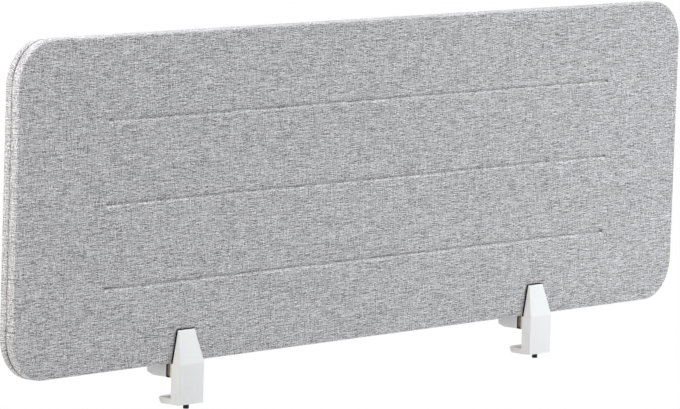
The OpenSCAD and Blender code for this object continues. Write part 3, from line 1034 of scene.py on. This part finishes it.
    def painted_light_and_shade(self, points: Array, ringed: int) -> Array:
        """Painted light and shade of the cloth at each point: paler on the rim, darker in the seam and
        grooves.

        Stretched, the rim's painted highlight, rises from nothing to one over a short depth in the rim's
        round.
        The seam's painted shade grows with how far the point lies within the seam's reach, more at the
        corners, where the two covers part a little. On the face the grooves' bells are painted dark as shade,
        and their lower lips are painted paler as a highlight.

        Args:
            points: The skin's points as (x, z, depth), the rings first.
            ringed: How many of the points are on rings.

        Returns:
            One for the full painted highlight on the rim and lips, zero for plain cloth, less for painted
            shade.
        """
        x, z, depth = points.T
        # Painted highlight: the cloth is drawn paler over the rim's round
        stretched = np.clip((depth - self.fold_from) / self.fold_reach, 0, 1)
        # Painted shade: the cloth is drawn darker in the seam's V, more at the corners
        seam_darkness = np.clip((depth - self.half_t + self.seam_reach) / self.seam_reach, 0, 1) ** 1.5
        past = np.minimum(np.abs(x) - self.width / 2, np.abs(z) - self.height / 2) + self.corner_r
        corner = np.clip(past / self.corner_r, 0, self.corner_share) / self.corner_share
        # Painted shade in each groove, and a painted highlight on its lower lip
        pressed, lip = (self.groove(x, z + drop, 0.0) / self.groove_deep for drop in (0.0, self.lip_drop))
        on_rim = stretched - (self.seam_shade + self.corner_shade * corner) * seam_darkness
        on_face = self.lip_highlight * lip**2 - self.groove_shade * pressed**2
        return np.where(np.arange(len(points)) < ringed, on_rim, on_face)

    def cover(self, rear: bool) -> Skin:
        """Cloth cover of one half: over the felt's face, round its rim and in at the seam.

        Args:
            rear: Whether this is the rear half.

        Returns:
            The cover's surface.
        """
        t = self.cloth_t
        seam = self.half_t - self.seam_gap
        stations = np.concatenate([
            eased(self.edge_r, 8),
            [[0, self.half_t / 2]],
            [0, seam] + eased(self.seam_r, 6)[::-1] * BACK,
            [[self.wall, seam], [self.wall, seam - t]],
            [t, seam - t] + eased(self.seam_r - t, 4) * BACK,
            t + eased(self.edge_r - t, 6)[::-1],
        ])
        return self.half_skin(stations, 0.0, t, rear)

    def felt(self, rear: bool) -> Skin:
        """Pressed felt half under a cover: a shallow tray with a square inner edge.

        Args:
            rear: Whether this is the rear half.

        Returns:
            The felt's surface.
        """
        t, wall = self.cloth_t, self.wall
        rim = self.half_t - t
        stations = np.concatenate([
            t + eased(self.edge_r - t, 6),
            [t, rim] + eased(self.seam_r - t, 4)[::-1] * BACK,
            [[wall, rim], [wall, wall], [wall + self.felt_sill, wall]],
        ])
        return self.half_skin(stations, t, wall, rear)

    def batt_lines(self, half: float, centres: Sequence[float], spacing: Spacing) -> Array:
        """Grid lines of a batt, as lines() gives them and closer together at its two ends.

        Args:
            half: Half the length that the lines cross.
            centres: Where fine lines are wanted.
            spacing: How the lines are spaced.

        Returns:
            The lines' places, rising.
        """
        near = half - np.geomspace(*self.batt_edge)
        places = np.concatenate([self.lines(half, centres, spacing), near, -near])
        places = np.unique(np.round(places, 7))
        return places[np.abs(places) <= half + DOUBLE]

    def batt(self, node: str) -> Piece:
        """Wadding of one bay: two sheets that meet round its edge.

        The half thickness is the bay's, less the grooves' ridges and a slow unevenness of sines. It shrinks
        to almost nothing at the edges by the square root of one less a high power of the place along each
        side, so the edge is blunt.

        Args:
            node: The frame node of the bay.

        Returns:
            The wadding.
        """
        low, high = (np.array(corner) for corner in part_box(node))
        mid_x, _, mid_z = (low + high) / 2
        half_x, _, half_z = (high - low) / 2
        ends = [e - mid_x for e in (-self.groove_half, self.groove_half) if low[0] < e < high[0]] or [0.0]
        across = self.batt_lines(half_x, ends, self.batt_across)
        up = self.batt_lines(half_z, self.groove_places, self.batt_up)
        x, z = np.meshgrid(across, up)
        inset = self.wall + self.frame_gap
        blunt = (1 - np.minimum(np.abs(x / half_x), 1) ** 60) * (1 - np.minimum(np.abs(z / half_z), 1) ** 40)
        ripple = np.sin(x * 71 + 3 * np.sin(z * 23)) * np.sin(z * 83 + 2 * np.sin(x * 31))
        thick = self.half_t - inset - self.groove(x + mid_x, z, inset) - self.batt_uneven * (1 + ripple)
        half = thick * np.sqrt(blunt)
        mid_y = (self.low.y + self.high.y) / 2
        sheets = [np.stack([x + mid_x, mid_y + way * half, z + mid_z], -1).reshape(-1, 3) for way in (-1, 1)]
        faces = grid_faces(len(up), len(across)) + grid_faces(len(up), len(across), start=len(sheets[0]))
        return Skin(np.concatenate(sheets), faces).to_piece(node.replace("wadding", "batt"), 60.0)

    def build(self) -> None:
        """Builds and dresses the panel's pieces."""
        for rear, name in ((False, "front"), (True, "rear")):
            felt = self.felt(rear).to_piece(f"{name}_felt", 50.0)
            self.finishes.settle(felt, "panel", "pressed_felt", f"{name}_shell")
            cover = self.cover(rear).to_piece(f"{name}_cover", 60.0)
            self.finishes.settle(cover, "panel", "cover_fabric", f"{name}_fabric")
        for node in ("left_wadding", "middle_wadding", "right_wadding"):
            batt = self.batt(node)
            self.finishes.settle(batt, "panel", "wadding", node)
        for finish, nodes in (
            (Grain.ALONG_X, ("bottom_rail", "top_rail")),
            (Grain.ALONG_Z, ("left_stile", "right_stile", "left_post", "right_post")),
            ("zinc_steel", ("frame_screws",)),
        ):
            for node in nodes:
                self.finishes.dress(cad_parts[node], finish)


# The clamps

@dataclass
class Clamp:
    """One screw clamp: front jaw, slide between the jaws, rear jaw, and the screws that draw them."""

    side: Side
    finishes: Finishes
    face_y: float = 0.3 * MM
    back_y: float = 28.3 * MM
    half_w: float = 28 * MM
    foot_h: float = 21.5 * MM
    top_z: float = 71.5 * MM
    brow_z: float = 65.5 * MM
    top_half_w: float = 18 * MM
    column_t: float = 17 * MM
    pad_t: float = 2 * MM
    brow_t: float = 4 * MM
    top_t: float = 1.6 * MM
    crease_soft: float = 1.8 * MM
    crease_reach: float = 2.1 * MM
    crease_step: float = 0.35 * MM
    rear_crease_step: float = 0.2 * MM
    brow_reach: float = 1.2 * MM
    top_edge: float = 0.5 * MM
    column_edge: float = 1.4 * MM
    corner_r: float = 2 * MM
    corner_share: float = 0.42
    back_r: float = 0.5 * MM
    back_share: float = 0.3
    lip_z: float = -31.3 * MM
    lip_start: float = -5 * MM
    lip_reach: float = 32 * MM
    lip_side_reach: float = 25 * MM
    lip_end_half: float = 13 * MM
    lip_slant: float = 5 * MM
    lip_rim: float = 2.2 * MM
    lip_foot_edge: float = 1.2 * MM
    lip_top_edge: float = 0.8 * MM
    lip_pad_r: float = 1.2 * MM
    foot_pad_r: float = 1.5 * MM
    sole_t: float = 1.5 * MM
    pad_proud: float = 0.3 * MM
    pad_side: float = 0.4 * MM
    pad_rise: float = 1.2 * MM
    seat_z: float = 21.3 * MM
    jaw_y: float = 11.2 * MM
    end_y: float = 50.3 * MM
    slope_l: float = 12 * MM
    slope_h: float = 4.4 * MM
    slope_soft: float = 0.8 * MM
    foot_edge: float = 0.5 * MM
    seat_edge: float = 0.3 * MM
    foot_rim: float = 4 * MM
    axis_z: float = 10.8 * MM
    bore_r: float = 3.3 * MM
    head_half: float = 12.3 * MM
    neck_half: float = 7.3 * MM
    slot_rib: float = 3.2 * MM
    slot_deep: float = 13.3 * MM
    slot_low: float = -30.85 * MM
    slot_top: float = 19.05 * MM
    window_z: float = -14.25 * MM
    tongue_half: float = 9.3 * MM
    tongue_rise: float = 7.3 * MM
    tongue_end: float = 39.1 * MM
    recess_y: float = 45.1 * MM
    recess_r: float = 5.3 * MM
    column_bore_l: float = 12 * MM
    grip_bore_l: float = 14 * MM
    recess_l: float = 8 * MM
    plate_y: tuple[float, float] = (0.15 * MM, 2.8 * MM)
    plate_r: float = 0.4 * MM
    plate_sill: float = 2.45 * MM
    clamp_head_h: float = 7.5 * MM
    grip_head_h: float = 5 * MM

    def __post_init__(self) -> None:
        """Reads the clamp's middle and the column's foot from the frame."""
        low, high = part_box(self.node("front_jaw"))
        self.x = (low.x + high.x) / 2
        self.column_z = low.z
        self.screw_y = sum(v.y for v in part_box(self.node("clamp_screw"))) / 2

    def node(self, name: str) -> str:
        """A frame node's full name on this side."""
        return f"{self.side.value}_{name}"

    def settle(self, piece: Piece, body: str, slot: str, node: str) -> None:
        """Dresses a piece of this clamp and puts it on one of its bodies, for one of its nodes."""
        self.finishes.settle(piece, self.node(body), slot, self.node(node))

    def box(self, half: float, y0: float, y1: float, z0: float, z1: float) -> Piece:
        """Plain box across the clamp's middle, used only to cut with."""
        return cutter(rectangle(self.x - half, y0, self.x + half, y1), z0, z1)

    def tongue_slot(self, start: float, end: float) -> Piece:
        """Room for the slide's tongue between two depths, used only to cut with."""
        low, high = self.axis_z - self.tongue_rise, self.axis_z + self.tongue_rise
        return self.box(self.tongue_half, start, end, low, high)

    def sole(self) -> Array:
        """Outline of the rear jaw's foot inside its rim.

        Returns:
            The outline's corners.
        """
        half = self.half_w - self.foot_rim
        end = self.end_y - self.slope_l - self.foot_rim
        return rectangle(self.x - half, self.jaw_y + self.foot_rim, self.x + half, end)

    def wedge(self, inner: float, start: float) -> list[Triple]:
        """Rings of a jaw's wedge, from over the crease up to the eased top.

        Args:
            inner: Place of the inner face.
            start: How far over the crease the first ring lies.

        Returns:
            Height, inner face's place and inset of each ring.
        """
        crease = self.foot_h + np.linspace(start, self.crease_reach, 6)
        brow = self.brow_z + np.linspace(-self.brow_reach, self.brow_reach, 5)
        rings = [(z, inner, 0.0) for z in [*crease, *brow]]
        return rings + [(self.top_z - d, inner, i) for i, d in eased(self.top_edge, 3)[::-1]]

    def jaw(self, name: str, stations: Sequence[Triple], rear: bool) -> Piece:
        """Body of a jaw from its foot up: rectangles with round corners whose width follows the height.

        The outer face, towards -Y or on the rear jaw towards +Y, has wide corner rounds and the inner face
        small ones. The outer face is upright, then leans in along the wedge, then more steeply at the brow,
        and the rear jaw's starts with a slope below. Its place and the half width are broken lines over the
        height, softened at their bends.

        Args:
            name: The piece's name on its side.
            stations: Height, inner face's place and inset of each ring.
            rear: Whether this is the rear jaw.

        Returns:
            The body.
        """
        z, inner, inset = np.array(stations).T
        way, foot = (1, self.end_y) if rear else (-1, -self.column_t)
        brow, top = inner[-1] + way * self.brow_t, inner[-1] + way * self.top_t
        bends = [-1, self.foot_h, self.brow_z, self.top_z]
        outer = softened(z, bends, [foot, foot, brow, top], self.crease_soft)
        if rear:
            slope = [-1, self.pad_proud, self.pad_proud + self.slope_h]
            outer += softened(z, slope, [-self.slope_l, -self.slope_l, 0.0], self.slope_soft)
        lean = (self.top_half_w - self.half_w) / (self.top_z - self.foot_h)
        past_top = self.half_w + lean * (1 - self.foot_h)
        wide = softened(z, [-1, self.foot_h, 1], [self.half_w, self.half_w, past_top], self.crease_soft)
        low, high = (inner, outer) if rear else (outer, inner)
        deep = high - low
        front = np.minimum(self.corner_r, self.corner_share * deep)
        back = np.minimum(self.back_r, self.back_share * deep)
        radii = np.stack([back, back, front, front] if rear else [front, front, back, back], 1)
        rings = []
        for k, height in enumerate(z):
            corners = rectangle(self.x - wide[k], low[k], self.x + wide[k], high[k])
            outline = rounded_outline(corners, radii[k], inset[k], 6)
            rings.append(np.column_stack([outline, np.full(len(outline), height)]))
        return loft(np.stack(rings)).to_piece(self.node(name))

    def front_jaw(self) -> None:
        """Builds the front jaw: wedge, column and lip in one casting, hollow behind for the slide's head."""
        below = self.foot_h - np.linspace(self.crease_reach, self.crease_step, 6)
        stations = [(self.column_z + d, 0.0, i) for i, d in eased(self.column_edge, 5)]
        stations += [(z, 0.0, 0.0) for z in [*below, self.foot_h]]
        stations += [(self.foot_h, -self.pad_t, 0.0)] + self.wedge(-self.pad_t, self.crease_step)
        jaw = self.jaw("jaw_front", stations, rear=False)
        combine(jaw, [self.lip()], "UNION")
        under = (self.x, self.screw_y, self.column_z - OVERRUN)
        cutters = [
            self.box(self.head_half, -self.slot_deep, -self.slot_rib, self.slot_low, self.slot_top),
            self.box(self.neck_half, -self.slot_rib - OVERRUN, OVERRUN, self.slot_low, self.slot_top),
            self.box(self.head_half, -self.slot_rib - OVERRUN, OVERRUN, self.slot_low, self.window_z),
            bore(under, self.bore_r, self.column_bore_l, Plane.ALONG_Z),
        ]
        combine(jaw, cutters, "DIFFERENCE")
        self.settle(jaw, "front", "white_paint", "front_jaw")

    def lip_corners(self, slant: float, rim: float, start: float) -> Array:
        """Corners of the lip from above.

        Args:
            slant: How much shorter it is than at its top.
            rim: How far its sides and end are taken in.
            start: The depth where it begins.

        Returns:
            The outline's six corners.
        """
        turn = math.atan2(self.lip_reach - self.lip_side_reach, self.half_w - self.lip_end_half)
        wide = self.half_w - rim
        side = self.lip_side_reach - slant - rim * math.tan(math.pi / 4 - turn / 2)
        end_half = self.lip_end_half - rim * math.tan(turn / 2)
        end = self.lip_reach - slant - rim
        right = [[wide, start], [wide, side], [end_half, end]]
        left = [[-x, y] for x, y in right[::-1]]
        return np.array(left[-1:] + right + left[:-1]) + [self.x, 0.0]

    def lip(self) -> Piece:
        """Lip of the front jaw, with its slanted end and the recess for its pad.

        Returns:
            The lip.
        """
        radii = np.array([0.5, 0.5, 2.0, 2.0, 2.0, 2.0]) * MM
        foot = [(self.column_z + d, i) for i, d in eased(self.lip_foot_edge, 4)]
        top = [(self.lip_z - d, i) for i, d in eased(self.lip_top_edge, 4)[::-1]]
        outlines = []
        for z, inset in foot + top:
            slant = self.lip_slant * (self.lip_z - z) / (self.lip_z - self.column_z)
            corners = self.lip_corners(slant, 0.0, self.lip_start)
            outlines.append((z, rounded_outline(corners, radii, inset)))
        recess = rounded_outline(self.lip_corners(0.0, self.lip_rim, self.lip_rim), radii)
        outlines += [(z, recess) for z in (self.lip_z, self.lip_z + self.pad_proud - self.sole_t)]
        rings = [np.column_stack([outline, np.full(len(outline), z)]) for z, outline in outlines]
        return loft(np.stack(rings)).to_piece("lip")

    def pads(self) -> None:
        """Builds the grip pads of both jaws and the pads of the lip and the foot."""
        base, top = self.half_w + self.pad_side, self.top_half_w + self.pad_side
        z0, z1 = self.foot_h, self.top_z + self.pad_rise
        corners = [(z0, self.x + base), (z1, self.x + top), (z1, self.x - top), (z0, self.x - base)]
        radii = np.array([0.3, 1.6, 1.6, 0.3]) * MM
        front = prism(corners, radii, -self.pad_t, self.face_y, Plane.ALONG_Y)
        rear = prism(corners, radii, self.back_y, self.back_y + self.pad_t, Plane.ALONG_Y)
        z = self.lip_z + self.pad_proud
        lip_outline = self.lip_corners(0.0, self.lip_rim, self.lip_rim)
        lip = prism(lip_outline, self.lip_pad_r, z - self.sole_t, z, Plane.ALONG_Z)
        foot = prism(self.sole(), self.foot_pad_r, 0.0, self.sole_t, Plane.ALONG_Z)
        for name, skin, body, slot, node in (
            ("grip_pad_front", front, "front", "black_rubber", "front_pad"),
            ("grip_pad_rear", rear, "rear", "black_rubber", "rear_pad"),
            ("lip_pad_cover", lip, "front", "grey_rubber", "lip_pad"),
            ("foot_pad_cover", foot, "rear", "grey_rubber", "foot_pad"),
        ):
            self.settle(skin.to_piece(self.node(name)), body, slot, node)

    def rear_jaw(self) -> None:
        """Builds the rear jaw: its base under the panel, the wedge behind it and the slope below."""
        foot_z, inner = self.pad_proud, self.back_y + self.pad_t
        stations = [(foot_z + d, self.jaw_y, i) for i, d in eased(self.foot_edge, 3)]
        slope = foot_z + np.linspace(self.slope_soft, self.slope_h + 2 * self.slope_soft, 9)
        under_seat = [self.seat_z - 4 * self.seat_edge, self.seat_z - self.seat_edge]
        stations += [(z, self.jaw_y, 0.0) for z in [*slope, *under_seat]]
        stations += [(self.seat_z, self.jaw_y + self.seat_edge, 0.0), (self.seat_z, self.back_y, 0.0)]
        stations += [(self.foot_h, self.back_y, 0.0), (self.foot_h, inner, 0.0)]
        jaw = self.jaw("jaw_rear", stations + self.wedge(inner, self.rear_crease_step), rear=True)
        bore_start = self.tongue_end - OVERRUN
        cutters = [
            self.tongue_slot(self.jaw_y - OVERRUN, self.tongue_end),
            bore((self.x, bore_start, self.axis_z), self.bore_r, self.grip_bore_l, Plane.ALONG_Y),
            bore((self.x, self.recess_y, self.axis_z), self.recess_r, self.recess_l, Plane.ALONG_Y),
            cutter(self.sole(), -OVERRUN, self.sole_t),
        ]
        combine(jaw, cutters, "DIFFERENCE")
        self.settle(jaw, "rear", "white_paint", "rear_jaw")

    def slide(self) -> None:
        """Builds the sleeve and the face plate, and dresses the block between them."""
        front, back = self.plate_y
        outline = rectangle(front, 0.0, back, self.seat_z)
        low, high = self.x - self.half_w, self.x + self.half_w
        plate = prism(outline, self.plate_r, low, high, Plane.ALONG_X, self.plate_r)
        plate = plate.to_piece(self.node("plate"))
        window = self.box(self.neck_half, front - OVERRUN, back + OVERRUN, self.plate_sill, self.slot_top)
        combine(plate, [window], "DIFFERENCE")
        self.settle(plate, "slide", "cream_plastic", "face_plate")
        y0, y1, wall = 3.0 * MM, 11.0 * MM, 9.2 * MM
        top, roof, floor = self.seat_z, self.seat_z - 1.2 * MM, 2.6 * MM
        hook = [(y0, 0.0), (y1, 0.0), (y1, top), (y0, top)]
        hook += [(y0, roof), (wall, roof), (wall, floor), (y0, floor)]
        radii = np.array([0.4, 1.4, 0.8, 0.3, 0.3, 0.5, 0.8, 0.3]) * MM
        side = 0.8 * MM
        sleeve = prism(hook, radii, low + side, high - side, Plane.ALONG_X)
        sleeve = sleeve.to_piece(self.node("sleeve_cover"))
        combine(sleeve, [self.tongue_slot(wall - OVERRUN, y1 + OVERRUN)], "DIFFERENCE")
        self.settle(sleeve, "slide", "black_plastic", "sleeve")
        self.finishes.dress(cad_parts[self.node("slide_block")], "cast_metal")

    def build(self) -> None:
        """Builds and dresses the clamp's pieces."""
        self.front_jaw()
        self.rear_jaw()
        self.pads()
        self.slide()
        for name, plane, head_h in (
            ("clamp", Plane.ALONG_Z, self.clamp_head_h), ("grip", Plane.ALONG_Y, self.grip_head_h)
        ):
            screw = Screw(self.node(f"{name}_screw"), plane, head_h).build()
            self.settle(screw, f"{name}_drive", "black_steel", f"{name}_screw")
        for name, plane in (("clamp", Plane.ALONG_Z), ("grip", Plane.ALONG_Y)):
            nut = Nut(self.node(f"{name}_nut"), plane).build()
            self.settle(nut, "slide", "zinc_steel", f"{name}_nut")


@dataclass
class Screw:
    """Socket-head screw: knurled head with a hexagon socket, and a threaded shank."""

    node: str
    plane: Plane
    head_h: float
    shank_r: float = 3 * MM
    neck_l: float = 0.6 * MM
    neck_share: float = 0.86
    pitch: float = 1 * MM
    thread_deep: float = 0.55 * MM
    thread_out: float = 0.35 * MM
    tip_r: float = 1.8 * MM
    tip_edge: float = 0.4 * MM
    thread_gap: float = 0.3 * MM
    fade_end: float = 0.8 * MM
    fade_reach: float = 1.5 * MM
    fade_least: float = 0.35
    socket_w: float = 4 * MM
    socket_deep: float = 3 * MM
    socket_cone: float = 0.8 * MM
    socket_point_r: float = 0.05 * MM
    socket_floor_share: float = 0.93
    socket_rim: float = 0.35 * MM
    socket_flare: float = 0.3 * MM
    head_edge: float = 0.6 * MM
    base_edge: float = 0.3 * MM
    knurls: int = 36
    knurl_deep: float = 0.14 * MM
    knurl_start: float = 0.8 * MM
    knurl_end: float = 0.6 * MM

    def build(self) -> Piece:
        """Builds the screw as rings round its axis, from the socket's floor out over the head and to the tip.

        A ring's radius is a function of its station and the angle: a hexagon in the socket, a cosine knurl on
        the head's side, and on the shank a triangle wave of the height in pitches less the angle in turns,
        which shrinks towards the tip. The clamp screw's head is its lower end, the grip screw's its rear one.

        Returns:
            The piece.
        """
        low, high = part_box(self.node)
        first, _, along = self.plane.value
        start, way = (low[along], 1.0) if self.plane is Plane.ALONG_Z else (high[along], -1.0)
        length, head_r = high[along] - low[along], (high[first] - low[first]) / 2
        turn = circle(AROUND)
        socket = hexagon(self.socket_w / 2, np.pi / 6)
        knurl = 1 - self.knurl_deep / head_r * (0.5 + 0.5 * np.cos(turn * self.knurls))
        rings = [(self.socket_deep + self.socket_cone, self.socket_point_r)]
        rings += [(self.socket_deep, self.socket_floor_share * socket), (self.socket_deep, socket)]
        rings += [(self.socket_rim, socket), (0.0, socket + self.socket_flare)]
        rings += [(d, head_r - i) for i, d in eased(self.head_edge, 4)[:-1]]
        side = np.linspace(self.knurl_start, self.head_h - self.knurl_end, 6)
        rings += [(place, head_r * knurl) for place in side]
        rings += [(self.head_h - d, head_r - i) for i, d in eased(self.base_edge, 2)[::-1]]
        neck = self.head_h + self.neck_l
        rings += [(self.head_h, self.shank_r), (neck, self.neck_share * self.shank_r)]
        heights = np.arange(neck + self.thread_gap, length - self.pitch, self.pitch / 6)[:, None]
        wave = (heights / self.pitch - turn[None, :] / (2 * np.pi)) % 1.0
        fade = np.clip((length - self.fade_end - heights) / self.fade_reach, self.fade_least, 1.0)
        thread = self.shank_r - self.thread_deep * 2 * np.abs(wave - 0.5) - self.thread_out * (1 - fade)
        rings += list(zip(heights[:, 0], thread))
        rings += [(length - self.tip_edge, self.tip_r + self.tip_edge), (length, self.tip_r)]
        placed = [(start + way * place, radius) for place, radius in rings]
        body = loft(turned(self.plane, (low + high) / 2, placed, AROUND))
        return body.to_piece(f"{self.node}_threaded", 40.0)


@dataclass
class Nut:
    """Hexagon nut with chamfered corners and a countersunk bore."""

    node: str
    plane: Plane
    bore_r: float = 3.05 * MM
    sink: float = 0.5 * MM
    face_share: float = 0.985
    chamfer: float = 0.55
    chamfer_start: float = 0.1 * MM
    chamfer_places: tuple[float, ...] = (0.0, 0.15 * MM, 0.3 * MM, 0.5 * MM)

    def build(self) -> Piece:
        """Builds the nut as a closed section carried round its axis.

        The outside's radius is the lesser of the hexagon's and of a cone that cuts its corners at both ends.

        Returns:
            The piece.
        """
        low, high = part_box(self.node)
        first, second, along = self.plane.value
        size = high - low
        flats = min(size[first], size[second]) / 2
        sides = hexagon(flats, 0.0 if size[first] > size[second] else np.pi / 6)
        chamfered = [
            (d, np.minimum(sides, flats * self.face_share + (d + self.chamfer_start) / self.chamfer))
            for d in self.chamfer_places
        ]
        height, mouth = size[along], self.bore_r + self.sink
        rings = [(0.0, mouth), *chamfered, *((height - d, r) for d, r in chamfered[::-1]), (height, mouth)]
        rings += [(height - self.sink, self.bore_r), (self.sink, self.bore_r), (0.0, mouth)]
        placed = [(low[along] + place, radius) for place, radius in rings]
        points = turned(self.plane, (low + high) / 2, placed, AROUND).reshape(-1, 3)
        return Skin(points, grid_faces(len(rings), AROUND, wrap=True)).to_piece(f"{self.node}_hexagon", 30.0)


# Floor, lights and camera

@dataclass(frozen=True)
class Lamp:
    """A square soft lamp: where it hangs, what it faces, its size in metres and its power in watts."""

    name: str
    at: Triple
    aim: Triple
    size: float
    power: float
    colour: Triple

    def hang(self) -> None:
        """Hangs the lamp, unseen by the camera, so that it faces its aim."""
        data = bpy.data.lights.new(self.name, "AREA")
        data.shape, data.size, data.energy, data.color = "SQUARE", self.size, self.power, self.colour
        hung = add_object(self.name, data)
        hung.location = self.at
        hung.visible_camera = False
        hung.rotation_mode = "QUATERNION"
        hung.rotation_quaternion = (Vector(self.aim) - Vector(self.at)).to_track_quat("-Z", "Y")


@dataclass(frozen=True)
class Studio:
    """White floor a desk's height below, soft lamps, and the camera of the photograph."""

    floor_z: float = -730 * MM
    floor_rings: tuple[float, ...] = (0.5, 1.5, 3.5, 40.0)
    floor_grey: float = 0.86
    floor_roughness: float = 0.9
    white_from: float = 1.6
    white_to: float = 3.4
    world_light: float = 0.056
    camera_at: Triple = (-6.12881, -5.07305, 1.15009)
    camera_along: Triple = (0.76150, 0.63790, -0.11488)
    camera_right: Triple = (0.64469, -0.76376, 0.03242)
    lens: float = 271.33
    sensor: float = 36.0
    clip: tuple[float, float] = (0.1, 100.0)
    lamps: tuple[Lamp, ...] = (
        Lamp("front_lamp", (2.5, -2.0, 0.3), (0.0, 0.0, 0.2), 1.2, 25.5, (0.935, 0.973, 1.0)),
        Lamp("high_lamp", (3.3, -3.1, 5.2), (0.2, 0.0, 0.2), 2.4, 262.0, (0.935, 0.973, 1.0)),
        Lamp("top_lamp", (-0.2, -0.9, 3.4), (0.0, 0.0, 0.3), 1.4, 13.5, (1.0, 1.0, 1.0)),
        Lamp("side_lamp", (-4.5, -0.9, 0.95), (0.0, 0.0, 0.1), 1.3, 57.0, (1.0, 0.96, 0.89)),
        Lamp("rim_lamp", (-1.5, -0.01, 1.25), (-0.75, 0.0, 0.3), 0.6, 9.4, (0.97, 0.985, 1.0)),
        Lamp("back_lamp", (1.8, 2.8, 3.0), (0.0, 0.0, 0.2), 2.0, 120.0, (1.0, 1.0, 1.0)),
    )

    def floor(self) -> None:
        """Lays a round floor that keeps the object's shadow and turns plain white further out."""
        turn = circle(FLOOR_AROUND)
        radii = np.array(self.floor_rings)[:, None]
        x, y = radii * np.cos(turn), -radii * np.sin(turn)
        rings = np.stack([x, y, np.full_like(x, self.floor_z)], -1)
        faces = grid_faces(*x.shape, wrap=True) + [list(range(FLOOR_AROUND))[::-1]]
        mesh = bpy.data.meshes.new("floor")
        mesh.from_pydata(rings.reshape(-1, 3).tolist(), [], faces)
        graph = Surface("floor_white", self.floor_roughness)
        flat = graph.stretched(graph.object_place(), (1, 1, 0))
        away = graph.add("ShaderNodeVectorMath", {0: flat}, operation="LENGTH").outputs["Value"]
        share = graph.times(graph.spread(away, self.white_from, self.white_to), graph.white_share())
        white = graph.add("ShaderNodeEmission", {"Color": (1, 1, 1, 1), "Strength": 1.0})
        back = graph.add("ShaderNodeNewGeometry").outputs["Backfacing"]
        top = graph.either(share, graph.shader, white)
        both = graph.either(back, top, graph.add("ShaderNodeBsdfTransparent"))
        graph.feed(graph.output, {"Surface": both.outputs[0]})
        mesh.materials.append(graph.finished(Base_Color=(*[self.floor_grey] * 3, 1.0)))
        add_object("floor", mesh)

    def world(self) -> None:
        """Lights from all round with a plain grey and shows white behind the object."""
        world = bpy.data.worlds.new("studio")
        bpy.context.scene.world = world
        world.use_nodes = True
        graph = Graph(world.node_tree)
        light, white = (
            graph.add("ShaderNodeBackground", {"Strength": strength, "Color": (1.0, 1.0, 1.0, 1.0)})
            for strength in (self.world_light, 1.0)
        )
        mix = graph.either(graph.white_share(), light, white)
        graph.add("ShaderNodeOutputWorld", {"Surface": mix.outputs[0]})

    def camera(self) -> None:
        """Sets the camera at the photograph's place, with no shift."""
        data = bpy.data.cameras.new("photo_camera")
        data.lens, data.sensor_width = self.lens, self.sensor
        data.clip_start, data.clip_end = self.clip
        along = Vector(self.camera_along).normalized()
        right = Vector(self.camera_right)
        right = (right - along * right.dot(along)).normalized()
        turn = Matrix((right, right.cross(along), -along)).transposed().to_quaternion()
        camera = add_object("photo_camera", data)
        camera.matrix_world = Matrix.LocRotScale(Vector(self.camera_at), turn, None)
        bpy.context.scene.camera = camera

    def build(self) -> None:
        """Sets up the whole studio."""
        bpy.context.scene.view_settings.view_transform = "Standard"
        self.camera()
        self.floor()
        self.world()
        for lamp in self.lamps:
            lamp.hang()


def main() -> None:
    """Builds the panel, both clamps and the studio."""
    logging.basicConfig(level=logging.INFO, format="%(name)s %(message)s")
    finishes = Finishes()
    Studio().build()
    Panel(finishes).build()
    for side in Side:
        Clamp(side, finishes).build()


if __name__ == "__main__":
    main()
